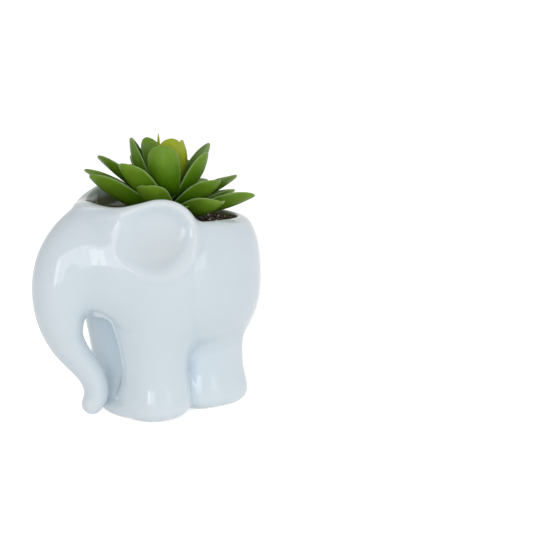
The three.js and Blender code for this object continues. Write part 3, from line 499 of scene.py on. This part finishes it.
def glazeMaterial():
    # Earthenware under a clear gloss glaze over white slip: glassy and even, thin and bright on ridges,
    # deeper and bluer where it pooled, greyed in the ears' dishes by painted shade, and wiped off the dull
    # clay soles.
    material, tree = newMaterial("glazedEarthenware")
    bend, bare, dish, dust = (
        addNode(tree, "ShaderNodeAttribute", {"attribute_name": name}).outputs["Fac"]
        for name in ("bend", "bare", "dish", "dust"))
    place = addNode(tree, "ShaderNodeTexCoord").outputs["Object"]
    cloud, grain, wave = (
        addNode(tree, "ShaderNodeTexNoise", {"Scale": scaleFor(size), "Detail": detail}, [
            ("Vector", place)]).outputs["Fac"]
        for size, detail in (
            (glaze["cloudSize"], 1.0), (glaze["clayGrain"], 4.0), (glaze["waveSize"], 1.5)))
    pooled = addNode(tree, "ShaderNodeMapRange", {
        "From Min": glaze["grooveBend"], "From Max": glaze["ridgeBend"]}, [("Value", bend)])
    coat = addNode(tree, "ShaderNodeValToRGB", {"stops": glaze["pooled"]}, [
        ("Fac", pooled.outputs["Result"])])
    cloudLow, cloudHigh = (linear(colour) for colour in glaze["cloudTints"])
    tint = addNode(tree, "ShaderNodeMix", {**blended, 6: cloudLow, 7: cloudHigh}, [(0, cloud)])
    tinted = addNode(tree, "ShaderNodeMix", {**multiply, 0: 1.0}, [
        (6, coat.outputs["Color"]), (7, tint.outputs[2])])
    # painted shade: the ears' dishes are greyed to stand for the shade and dim reflection in them
    dishShaded = addNode(tree, "ShaderNodeMix", {**blended, 7: linear(glaze["dishShadeColour"])}, [
        (0, dish), (6, tinted.outputs[2])])
    # painted shade and reflection: the inner wall under the lip is darkened olive
    innerShaded = addNode(tree, "ShaderNodeMix", {**blended, 7: linear(glaze["innerShadeColour"])}, [
        (0, dust), (6, dishShaded.outputs[2])])
    clayDark, clayLight = (linear(colour) for colour in glaze["clayColours"])
    clay = addNode(tree, "ShaderNodeMix", {**blended, 6: clayDark, 7: clayLight}, [(0, grain)])
    colour = addNode(tree, "ShaderNodeMix", blended, [
        (0, bare), (6, innerShaded.outputs[2]), (7, clay.outputs[2])])
    gloss = addNode(tree, "ShaderNodeMapRange", {
        "To Min": glaze["roughness"], "To Max": glaze["bareRoughness"]}, [("Value", bare)])
    # broad waves where the glaze ran, and the faint unevenness of the mould
    bump = addNode(tree, "ShaderNodeBump", {
        "Strength": glaze["waveStrength"], "Distance": glaze["waveDepth"] * millimetre}, [
        ("Height", wave)])
    shader = addNode(tree, "ShaderNodeBsdfPrincipled", {"IOR": glaze["iorIndex"], "Metallic": 0.0}, [
        ("Base Color", colour.outputs[2]), ("Roughness", gloss.outputs["Result"]),
        ("Normal", bump.outputs["Normal"])])
    addNode(tree, "ShaderNodeOutputMaterial", links=[("Surface", shader.outputs["BSDF"])])
    return material


def makePot():
    step, margin = pot["gridStep"], pot["margin"]
    low, high = (np.array(corner) / millimetre - [0, setBack, 0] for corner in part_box("elephant_pot"))
    low, high = low - margin, high + margin
    low[2] = -pot["cellsBelow"] * step
    points, quads = surfaceNet(fieldGrid(low, high, step), low, step)
    points = settle(points, rounds=2)
    points[:, 2] = np.maximum(points[:, 2], 0)
    normals = slopeAt(points, pot["normalReach"])
    normals /= np.maximum(np.linalg.norm(normals, axis=1), 1e-9)[:, None]
    bend = np.clip(bendAt(points, pot["curveReach"]), -1, 1)
    x, y, z = points.T
    bare = np.clip((glaze["bareHeight"] - z) / glaze["bareFade"], 0, 1)
    # painted shade in the ears' dishes, fading out a little way from the hollow
    dish = np.clip(1 - earFields(x, y, z)[1] / glaze["dishShadeReach"], 0, 1)
    # painted shade and dark reflection on the inner wall under the lip, standing for the shade of the
    # leaves and the reflected grit
    over = np.clip((z - glaze["innerShadeLow"]) / glaze["innerShadeFade"], 0, 1)
    under = np.clip((glaze["innerShadeHigh"] - z) / glaze["innerShadeFade"], 0, 1)
    dust = np.clip(1 - mouthField(x, y), 0, 1) * over * under
    marks = {"bend": bend, "bare": bare, "dish": dish, "dust": dust}
    piece = meshPiece("elephantPot", points, quads, marks, normals)
    finishPiece(piece, glazeMaterial(), "ceramic_glaze", "elephant_pot")
    print("pot skinned:", len(points), "points")


makePot()


# Filling: the foam plug and stem keep their solids, and loose-looking grit lies glued over the bed.
foam = dict(
    cellSize=0.9, cellColours=((0.3, "#1c2a1c"), (0.7, "#3d4f38")), roughness=0.95,
    pitStrength=0.6, pitDepth=0.3,
)
bed = dict(
    speckSize=0.9, speckColours=((0.35, "#1d150f"), (0.55, "#4a3625"), (0.72, "#80684c")), roughness=0.6,
    pitStrength=0.8, pitDepth=0.5,
)
stem = dict(markSize=1.5, markColours=((0.3, "#35591d"), (0.7, "#4b7529")), roughness=0.5)
grit = dict(
    spacing=1.55, rowSpacing=0.866, jitter=0.3, least=0.5, most=1.05, height=85.9, sunk=0.25, proud=0.3,
    wallGap=0.4, collarGap=0.9, collarRadius=4.4, squeeze=(0.65, 1.1), chips=5, chipFrom=(0.45, 0.75),
    # a grain's kind is its place along these colours
    kindColours=(
        (0.0, "#2b1f16"), (0.45, "#5a4330"), (0.7, "#7d6449"), (0.88, "#a58b68"), (0.93, "#d8d2c4"),
        (1.0, "#f2efe6")),
    brownKinds=(0.05, 0.65), tanKind=0.8, whiteKind=0.97, tanShare=0.22, whiteShare=0.07,
    speckSize=0.35, speckColours=((0.35, "#241a12"), (0.7, "#8f7658")), speckStrength=0.35, roughness=0.7,
    pitStrength=0.5, pitDepth=0.15,
)


def foamMaterial():
    # Floral foam, phenolic and cut with a knife: dull, dark green, full of fine cells.
    material, tree = newMaterial("floralFoam")
    place = addNode(tree, "ShaderNodeTexCoord").outputs["Object"]
    cells = addNode(tree, "ShaderNodeTexNoise", {"Scale": scaleFor(foam["cellSize"]), "Detail": 3.0}, [
        ("Vector", place)]).outputs["Fac"]
    colour = addNode(tree, "ShaderNodeValToRGB", {"stops": foam["cellColours"]}, [("Fac", cells)])
    bump = addNode(tree, "ShaderNodeBump", {
        "Strength": foam["pitStrength"], "Distance": foam["pitDepth"] * millimetre}, [("Height", cells)])
    shader = addNode(tree, "ShaderNodeBsdfPrincipled", {"Roughness": foam["roughness"]}, [
        ("Base Color", colour.outputs["Color"]), ("Normal", bump.outputs["Normal"])])
    addNode(tree, "ShaderNodeOutputMaterial", links=[("Surface", shader.outputs["BSDF"])])
    return material


def gritMaterial():
    # Crushed bark and stone set in clear glue: brown grains, a few tan, a few white perlite.
    material, tree = newMaterial("gluedGrit")
    kind = addNode(tree, "ShaderNodeAttribute", {"attribute_name": "kind"}).outputs["Fac"]
    base = addNode(tree, "ShaderNodeValToRGB", {"stops": grit["kindColours"]}, [("Fac", kind)])
    place = addNode(tree, "ShaderNodeTexCoord").outputs["Object"]
    speck = addNode(tree, "ShaderNodeTexNoise", {"Scale": scaleFor(grit["speckSize"]), "Detail": 3.0}, [
        ("Vector", place)]).outputs["Fac"]
    fleck = addNode(tree, "ShaderNodeValToRGB", {"stops": grit["speckColours"]}, [("Fac", speck)])
    colour = addNode(tree, "ShaderNodeMix", {**overlay, 0: grit["speckStrength"]}, [
        (6, base.outputs["Color"]), (7, fleck.outputs["Color"])])
    bump = addNode(tree, "ShaderNodeBump", {
        "Strength": grit["pitStrength"], "Distance": grit["pitDepth"] * millimetre}, [("Height", speck)])
    shader = addNode(tree, "ShaderNodeBsdfPrincipled", {"Roughness": grit["roughness"]}, [
        ("Base Color", colour.outputs[2]), ("Normal", bump.outputs["Normal"])])
    addNode(tree, "ShaderNodeOutputMaterial", links=[("Surface", shader.outputs["BSDF"])])
    return material


def bedMaterial():
    # The glued bed under the loose grains: dark between them, with a slight shine of glue.
    material, tree = newMaterial("gritBed")
    place = addNode(tree, "ShaderNodeTexCoord").outputs["Object"]
    speck = addNode(tree, "ShaderNodeTexNoise", {"Scale": scaleFor(bed["speckSize"]), "Detail": 4.0}, [
        ("Vector", place)]).outputs["Fac"]
    colour = addNode(tree, "ShaderNodeValToRGB", {"stops": bed["speckColours"]}, [("Fac", speck)])
    bump = addNode(tree, "ShaderNodeBump", {
        "Strength": bed["pitStrength"], "Distance": bed["pitDepth"] * millimetre}, [("Height", speck)])
    shader = addNode(tree, "ShaderNodeBsdfPrincipled", {"Roughness": bed["roughness"]}, [
        ("Base Color", colour.outputs["Color"]), ("Normal", bump.outputs["Normal"])])
    addNode(tree, "ShaderNodeOutputMaterial", links=[("Surface", shader.outputs["BSDF"])])
    return material


def stemMaterial():
    # Injection-moulded polyethylene: satin green, faintly mottled where the colour didn't mix evenly.
    material, tree = newMaterial("mouldedStem")
    place = addNode(tree, "ShaderNodeTexCoord").outputs["Object"]
    mark = addNode(tree, "ShaderNodeTexNoise", {"Scale": scaleFor(stem["markSize"]), "Detail": 2.0}, [
        ("Vector", place)])
    colour = addNode(tree, "ShaderNodeValToRGB", {"stops": stem["markColours"]}, [
        ("Fac", mark.outputs["Fac"])])
    shader = addNode(tree, "ShaderNodeBsdfPrincipled", {"Roughness": stem["roughness"]}, [
        ("Base Color", colour.outputs["Color"])])
    addNode(tree, "ShaderNodeOutputMaterial", links=[("Surface", shader.outputs["BSDF"])])
    return material


def grainBall():
    # a small ball of 42 points that each grain squeezes and chips in its own way
    bpy.ops.mesh.primitive_ico_sphere_add(subdivisions=2, radius=1)
    ball = bpy.context.active_object
    points = np.array([v.co for v in ball.data.vertices])
    faces = np.array([p.vertices for p in ball.data.polygons])
    bpy.data.objects.remove(ball)
    return points, faces


def chippedGrain(ball):
    shape = ball * rng.uniform(*grit["squeeze"], 3)
    for _ in range(grit["chips"]):  # each chip flattens one side
        way = rng.normal(size=3)
        way /= np.linalg.norm(way)
        over = np.maximum(shape @ way - rng.uniform(*grit["chipFrom"]), 0)
        shape = shape - over[:, None] * way
    return shape


def grainKind():
    draw = rng.random()
    if draw < grit["whiteShare"]:
        return grit["whiteKind"]
    return grit["tanKind"] if draw < grit["tanShare"] else rng.uniform(*grit["brownKinds"])


def makeGrains():
    ball, ballFaces = grainBall()
    points, faces, kinds = [], [], []
    rows = int(pot["mouthLength"] / grit["spacing"]) + 2
    jitter, clear = grit["jitter"], grit["collarRadius"] + grit["collarGap"]
    for row in range(-rows, rows):
        for column in range(-rows, rows):
            spot = np.array([(column + 0.5 * (row % 2)), row * grit["rowSpacing"]]) * grit["spacing"]
            spot = spot + rng.uniform(-jitter, jitter, 2) * grit["spacing"] + [0, pot["mouthSetBack"]]
            size = rng.uniform(grit["least"], grit["most"])
            if mouthField(spot[:1], spot[1:])[0] > -size - grit["wallGap"]:
                continue
            if np.hypot(spot[0] - plant["stemX"], spot[1] - plant["stemY"]) < clear:
                continue
            shape = chippedGrain(ball)
            turn = rng.uniform(0, 2 * np.pi)
            c, s = np.cos(turn), np.sin(turn)
            height = grit["height"] + rng.uniform(-grit["sunk"], grit["proud"])
            faces.append(ballFaces + len(points) * len(ball))
            points.append(shape @ np.array([[c, s, 0], [-s, c, 0], [0, 0, 1]]) * size + [*spot, height])
            kinds.append(np.full(len(ball), grainKind()))
    piece = meshPiece("gritGrains", np.vstack(points), np.vstack(faces), {"kind": np.concatenate(kinds)})
    finishPiece(piece, gritMaterial(), "brown_grit")
    print("grains laid:", len(points))


def dressFilling():
    finishes = {"foam_plug": foamMaterial(), "grit_layer": bedMaterial(), "plant_stem": stemMaterial()}
    for name, material in finishes.items():
        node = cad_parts[name]
        node.data.materials.clear()
        node.data.materials.append(material)
    print("filling dressed")


dressFilling()
makeGrains()


# Plant: whorls of fleshy leaves. A row is a leaf's turn from +X, then shares of the rosette's radius: reach
# from the stem, rise from the hub, width and sag, and last the roll of the blade.
whorls = (
    dict(node="leaf_whorl_outer", slot="leaf_green", piece="lowerWhorl", leaves=(
        (59, 1.012, 0.225, 0.375, 0.04, -16), (84, 0.875, 0.23, 0.275, 0.025, -10),
        (21, 0.762, 0.23, 0.425, 0.055, -12), (-19, 0.55, 0.163, 0.325, 0.025, 0),
        (-56, 0.562, 0.425, 0.35, 0.055, 4), (-106, 0.912, 0.508, 0.4, 0.055, 14),
        (-134, 0.988, 0.512, 0.35, 0, 14), (180, 0.875, 0.49, 0.3, 0.025, 4),
        (154, 0.9, 0.338, 0.325, 0.025, 0), (122, 0.955, 0.29, 0.3, 0.025, 0))),
    dict(node="leaf_whorl_middle", slot="leaf_green", piece="middleWhorl", leaves=(
        (88, 0.938, 0.29, 0.325, 0.03, -14), (34, 0.645, 0.348, 0.412, 0.062, -8),
        (-84, 0.637, 0.57, 0.388, 0.062, 6), (214, 0.895, 0.55, 0.35, 0.01, 20),
        (190, 0.625, 0.55, 0.287, 0.025, 8), (135, 0.75, 0.463, 0.325, 0.037, 0))),
    dict(node="leaf_whorl_inner", slot="leaf_green_light", piece="upperWhorl", leaves=(
        (62, 0.47, 0.545, 0.4, 0.075, -12), (93, 0.6, 0.61, 0.3, 0.062, -16),
        (-41, 0.35, 0.67, 0.35, 0.087, 0), (225, 0.43, 0.713, 0.362, 0.087, 12),
        (186, 0.4, 0.688, 0.325, 0.075, 8), (140, 0.425, 0.613, 0.325, 0.075, 0))),
    dict(node="leaf_bud", slot="bud_green", piece="budLeaves", leaves=(
        (-10, 0.138, 0.635, 0.312, 0.075, 0), (64, 0.175, 0.6, 0.3, 0.075, -6),
        (125, 0.113, 0.588, 0.25, 0.065, 0), (240, 0.075, 0.55, 0.2, 0.055, 0),
        (206, 0.115, 0.675, 0.04, 0.025, 0))),
)


# the blade's colours at its foot, half way and at its tip, and that of the highlight painted along its edge
leafPaints = {
    "leaf_green": ("mouldedLeaf", "#2b5004", "#578b08", "#90bc34", "#cfe2b0"),
    "leaf_green_light": ("mouldedLeafLight", "#325a05", "#60960c", "#92c03a", "#cfe2b0"),
    "bud_green": ("mouldedBud", "#7c9c1a", "#a6ba2a", "#ccd43c", "#dfe4a0"),
}
leafSkin = dict(
    foot=0.05, halfWay=0.4, tip=0.97, edgeFrom=0.955, edgeHighlight=0.34,
    blotchSize=4.5, blotchTones=((0.3, "#606060"), (0.7, "#a0a0a0")), blotchStrength=0.3,
    shadeTones=((0.0, "#6a6a6a"), (1.0, "#9c9c9c")), shadeStrength=0.5, hubShade=0.3, leafShades=(0.1, 0.9),
    grainSize=1.1, grainStrength=0.25, grainDepth=0.12, roughness=0.34, iorIndex=1.5, specularLevel=0.17,
)


def leafShell(leaf, hubMiddle):
    # one leaf as rings from inside the hub to the tip, and how far along and near the edge each point is
    turn, tilt = math.radians(leaf[0]), math.radians(leaf[5])
    reach, rise, width, sag = np.array(leaf[1:5]) * plant["rosetteRadius"]
    start = (plant["hubRadius"] + plant["stemRadius"] + plant["hubClearance"]) / 2 - plant["hubOverlap"]
    length = math.hypot(reach - start, rise)
    outward, upward = (reach - start) / length, rise / length
    stations, sides = plant["stations"], plant["sides"]
    # the rings stand closer together toward the tip, and the last leaves a blunt end
    t = 1 - (1 - np.linspace(0, 1, stations)) ** plant["stationCrowding"]
    t[-1] = plant["lastStation"]
    before = np.sin(np.pi / 2 * np.minimum(t / plant["leafWidest"], 1))
    after = np.maximum(t - plant["leafWidest"], 0) / (1 - plant["leafWidest"])
    # the blade bulges a little past its solid, and its tip is rounder
    waist = plant["fullWaist"] + (1 - plant["fullWaist"]) * before
    half = width / 2 * plant["fullness"] * waist * (1 - after ** plant["tipPower"]) ** plant["tipRounding"]
    root = plant["rootThickness"]
    thick = min(plant["leafThickness"], width) * (root + (1 - root) * before)
    thick = np.minimum(thick * (1 - plant["tipThinning"] * after ** 2), plant["thickestShare"] * half)
    angle = 2 * np.pi * np.arange(sides) / sides
    v, side = np.cos(angle), np.sin(angle)
    v = np.sign(v) * np.abs(v) ** plant["sideCrowding"]
    aside = half[:, None] * v
    cup = plant["leafCup"] * (half * before * (1 - plant["cupFade"] * after ** 2))[:, None] * v ** 2
    dent = np.exp(-(v / plant["grooveWidth"]) ** 2) * (side > 0)
    ridge = -plant["groove"] * (before * (1 - after))[:, None] * dent
    lift = cup + ridge + thick[:, None] * np.sign(side) * np.sqrt(np.maximum(1 - v * v, 0)) / 2
    lean, level = math.sin(tilt), math.cos(tilt)
    aside, lift = aside * level - lift * lean, aside * lean + lift * level
    lift = lift - (sag * 4 * t * (1 - t))[:, None]
    r = start + outward * length * t[:, None] - upward * lift
    z = upward * length * t[:, None] + outward * lift
    wave = plant["waveHeight"] * np.sin(plant["waves"] * t + leaf[0])[:, None] * np.abs(v) ** 3
    x = r * math.cos(turn) - aside * math.sin(turn)
    y = r * math.sin(turn) + aside * math.cos(turn)
    shape = np.stack([x, y, z + wave], axis=2).reshape(-1, 3)
    shape += [plant["stemX"], plant["stemY"], hubMiddle]
    ring = np.arange(sides)
    following = (ring + 1) % sides
    faces = []
    for k in range(stations - 1):
        a, b = k * sides + ring, k * sides + following
        faces += np.stack([a, a + sides, b + sides, b], axis=1).tolist()
    faces.append(list(range(sides)))
    faces.append(list(range((stations - 1) * sides, stations * sides))[::-1])
    along = np.repeat(t, sides)
    edge = (np.abs(v)[None, :] * np.ones((stations, 1))).ravel()
    return shape, faces, along, edge


def hubShell(hubMiddle):
    # the ring that carries a whorl's leaves, with its bore and small bevels
    bore = plant["stemRadius"] + plant["hubClearance"]
    outer, half, bevel = plant["hubRadius"], plant["hubHeight"] / 2, plant["hubBevel"]
    profile = [
        (bore, -half + bevel), (bore + bevel, -half), (outer - bevel, -half), (outer, -half + bevel),
        (outer, half - bevel), (outer - bevel, half), (bore + bevel, half), (bore, half - bevel)]
    sides = plant["hubSides"]
    angle = 2 * np.pi * np.arange(sides) / sides
    points = np.concatenate([
        np.stack([r * np.cos(angle), r * np.sin(angle), np.full(sides, z)], axis=1) for r, z in profile])
    points += [plant["stemX"], plant["stemY"], hubMiddle]
    faces = []
    for k in range(len(profile)):
        for i in range(sides):
            n, m = (i + 1) % sides, (k + 1) % len(profile)
            faces.append([k * sides + i, k * sides + n, m * sides + n, m * sides + i])
    return points, faces


def leafMaterial(name, footColour, middleColour, tipColour, edgeHighlightColour):
    # Soft PVC, moulded and sprayed: satin, darker down in the rosette, with a thin pale highlight painted
    # along the edge.
    material, tree = newMaterial(name)
    along, rim, shade = (
        addNode(tree, "ShaderNodeAttribute", {"attribute_name": mark}).outputs["Fac"]
        for mark in ("along", "edge", "shade"))
    place = addNode(tree, "ShaderNodeTexCoord").outputs["Object"]
    blotch, grain = (
        addNode(tree, "ShaderNodeTexNoise", {"Scale": scaleFor(size), "Detail": 3.0}, [
            ("Vector", place)]).outputs["Fac"]
        for size in (leafSkin["blotchSize"], leafSkin["grainSize"]))
    stops = (
        (leafSkin["foot"], footColour), (leafSkin["halfWay"], middleColour), (leafSkin["tip"], tipColour))
    blade = addNode(tree, "ShaderNodeValToRGB", {"stops": stops}, [("Fac", along)])
    blotches = addNode(tree, "ShaderNodeValToRGB", {"stops": leafSkin["blotchTones"]}, [("Fac", blotch)])
    shades = addNode(tree, "ShaderNodeValToRGB", {"stops": leafSkin["shadeTones"]}, [("Fac", shade)])
    blotched = addNode(tree, "ShaderNodeMix", {**overlay, 0: leafSkin["blotchStrength"]}, [
        (6, blade.outputs["Color"]), (7, blotches.outputs["Color"])])
    shaded = addNode(tree, "ShaderNodeMix", {**overlay, 0: leafSkin["shadeStrength"]}, [
        (6, blotched.outputs[2]), (7, shades.outputs["Color"])])
    # painted highlight: a pale line along the edge of every leaf
    edgeLit = addNode(tree, "ShaderNodeMapRange", {
        "From Min": leafSkin["edgeFrom"], "From Max": 1.0, "To Max": leafSkin["edgeHighlight"]}, [
        ("Value", rim)])
    colour = addNode(tree, "ShaderNodeMix", {**blended, 7: linear(edgeHighlightColour)}, [
        (0, edgeLit.outputs["Result"]), (6, shaded.outputs[2])])
    bump = addNode(tree, "ShaderNodeBump", {
        "Strength": leafSkin["grainStrength"], "Distance": leafSkin["grainDepth"] * millimetre}, [
        ("Height", grain)])
    shader = addNode(tree, "ShaderNodeBsdfPrincipled", {
        "Roughness": leafSkin["roughness"], "IOR": leafSkin["iorIndex"],
        "Specular IOR Level": leafSkin["specularLevel"]}, [
        ("Base Color", colour.outputs[2]), ("Normal", bump.outputs["Normal"])])
    addNode(tree, "ShaderNodeOutputMaterial", links=[("Surface", shader.outputs["BSDF"])])
    return material


def makeWhorls():
    looks = {slotName: leafMaterial(*paint) for slotName, paint in leafPaints.items()}
    topHub = stemHigh.z / millimetre - plant["stemAbove"] - plant["hubHeight"] / 2
    for below, whorl in zip(range(len(whorls) - 1, -1, -1), whorls):
        hubMiddle = topHub - below * (plant["hubHeight"] + plant["hubGap"])
        points, faces = hubShell(hubMiddle)
        # how far along, how near the edge and how shaded each point is
        none = np.zeros(len(points))
        columns = [none, none, none + leafSkin["hubShade"]]
        for leaf in whorl["leaves"]:
            shape, leafFaces, along, edge = leafShell(leaf, hubMiddle)
            faces += [[i + len(points) for i in face] for face in leafFaces]
            points = np.vstack([points, shape])
            shade = np.full(len(shape), rng.uniform(*leafSkin["leafShades"]))
            columns = [np.concatenate(pair) for pair in zip(columns, (along, edge, shade))]
        piece = meshPiece(whorl["piece"], points, faces, dict(zip(("along", "edge", "shade"), columns)))
        finishPiece(piece, looks[whorl["slot"]], whorl["slot"], whorl["node"])
    print("whorls grown:", len(whorls))


makeWhorls()


# Studio: a white table in a white room, dimmer overhead and over the elephant's brow, and large soft boxes.
studio = dict(
    floorRadius=14, floorSides=96, floorDrop=0.00005, floorColour="#fbfbfb", mottleColour="#f7f7f7",
    mottleSize=0.4, floorSeen=2.5, floorGlow=0.5,
    # the falls are cosines, of the way up and of the way to the dim side
    roomHigh=0.42, roomHorizon=1.0, roomFall=(0.1, 0.9),
    dimAzimuth=-25, dimElevation=50, dimShare=0.35, dimFall=(0.2, 0.95),
    aimHeight=0.055, boxes=(
        dict(name="faceBox", azimuth=51, elevation=8, distance=1.5, width=0.7, height=0.9, power=4.0),
        dict(name="stripBox", azimuth=44, elevation=6, distance=1.2, width=0.14, height=0.6, power=0.6),
        dict(name="rightBox", azimuth=108, elevation=10, distance=1.5, width=0.35, height=1.1, power=1.7),
    ),
)


def seenRay(tree):
    # 1 for what the camera sees, straight or by way of gloss or glass, 0 for the light on things
    path = addNode(tree, "ShaderNodeLightPath").outputs
    either = addNode(tree, "ShaderNodeMath", {"operation": "MAXIMUM"}, [
        (0, path["Is Camera Ray"]), (1, path["Is Glossy Ray"])])
    return addNode(tree, "ShaderNodeMath", {"operation": "MAXIMUM"}, [
        (0, either.outputs[0]), (1, path["Is Transmission Ray"])]).outputs[0]


def tableMaterial():
    # Matt white melamine: flat and even, and where it is seen by the eye or in the glaze it is the white
    # backdrop, with the pot's soft shadow left in.
    material, tree = newMaterial("mattWhiteTable")
    place = addNode(tree, "ShaderNodeTexCoord").outputs["Object"]
    mottle = addNode(tree, "ShaderNodeTexNoise", {"Scale": 1 / studio["mottleSize"], "Detail": 1.0}, [
        ("Vector", place)])
    colour = addNode(tree, "ShaderNodeMix", {
        **blended, 6: linear(studio["floorColour"]), 7: linear(studio["mottleColour"])}, [
        (0, mottle.outputs["Fac"])])
    paint = addNode(tree, "ShaderNodeBsdfDiffuse", links=[("Color", colour.outputs[2])])
    level = studio["floorSeen"]
    bright = addNode(tree, "ShaderNodeBsdfDiffuse", {"Color": (level, level, level, 1)})
    glow = addNode(tree, "ShaderNodeEmission", {"Strength": 1.0})
    backdrop = addNode(tree, "ShaderNodeMixShader", {0: studio["floorGlow"]}, [
        (1, bright.outputs[0]), (2, glow.outputs[0])])
    shader = addNode(tree, "ShaderNodeMixShader", links=[
        (0, seenRay(tree)), (1, paint.outputs[0]), (2, backdrop.outputs[0])])
    addNode(tree, "ShaderNodeOutputMaterial", links=[("Surface", shader.outputs[0])])
    return material


def makeFloor():
    sides, radius = studio["floorSides"], studio["floorRadius"]
    angle = 2 * np.pi * np.arange(sides) / sides
    ring = [(radius * math.cos(a), radius * math.sin(a), -studio["floorDrop"]) for a in angle]
    mesh = bpy.data.meshes.new("tableTop")
    mesh.from_pydata(ring, [], [list(range(sides))])
    mesh.materials.append(tableMaterial())
    floor = bpy.data.objects.new("tableTop", mesh)
    bpy.context.scene.collection.objects.link(floor)


def makeRoom():
    world = bpy.data.worlds.new("whiteRoom")
    bpy.context.scene.world = world
    world.use_nodes = True
    tree = world.node_tree
    tree.nodes.clear()
    way = addNode(tree, "ShaderNodeTexCoord").outputs["Generated"]
    height = addNode(tree, "ShaderNodeSeparateXYZ", links=[("Vector", way)]).outputs["Z"]
    fallFrom, fallTo = studio["roomFall"]
    level = addNode(tree, "ShaderNodeMapRange", {
        "interpolation_type": "SMOOTHSTEP", "From Min": fallFrom, "From Max": fallTo,
        "To Min": studio["roomHorizon"], "To Max": studio["roomHigh"]}, [("Value", height)])
    toDim = addNode(tree, "ShaderNodeVectorMath", {
        "operation": "DOT_PRODUCT", 1: outwards(studio["dimAzimuth"], studio["dimElevation"])}, [(0, way)])
    fallFrom, fallTo = studio["dimFall"]
    share = addNode(tree, "ShaderNodeMapRange", {
        "interpolation_type": "SMOOTHSTEP", "From Min": fallFrom, "From Max": fallTo,
        "To Min": 1.0, "To Max": 1 - studio["dimShare"]}, [("Value", toDim.outputs["Value"])])
    dimmed = addNode(tree, "ShaderNodeMath", {"operation": "MULTIPLY"}, [
        (0, level.outputs["Result"]), (1, share.outputs["Result"])])
    lit = addNode(tree, "ShaderNodeBackground", {"Color": (1, 1, 1, 1)}, [("Strength", dimmed.outputs[0])])
    seen = addNode(tree, "ShaderNodeBackground", {"Color": (1, 1, 1, 1), "Strength": 1.0})
    mixed = addNode(tree, "ShaderNodeMixShader", links=[
        (0, seenRay(tree)), (1, lit.outputs[0]), (2, seen.outputs[0])])
    addNode(tree, "ShaderNodeOutputWorld", links=[("Surface", mixed.outputs[0])])


def makeBoxes():
    middle = Vector((0, 0, studio["aimHeight"]))
    for box in studio["boxes"]:
        back = outwards(box["azimuth"], box["elevation"])
        light = bpy.data.lights.new(box["name"], "AREA")
        light.shape = "RECTANGLE"
        light.size, light.size_y, light.energy = box["width"], box["height"], box["power"]
        lamp = bpy.data.objects.new(box["name"], light)
        lamp.location = middle + back * box["distance"]
        lamp.rotation_mode = "QUATERNION"
        lamp.rotation_quaternion = (-back).to_track_quat("-Z", "Y")
        bpy.context.scene.collection.objects.link(lamp)


makeFloor()
makeRoom()
makeBoxes()
bpy.context.scene.view_settings.view_transform = "Standard"
print("studio set")
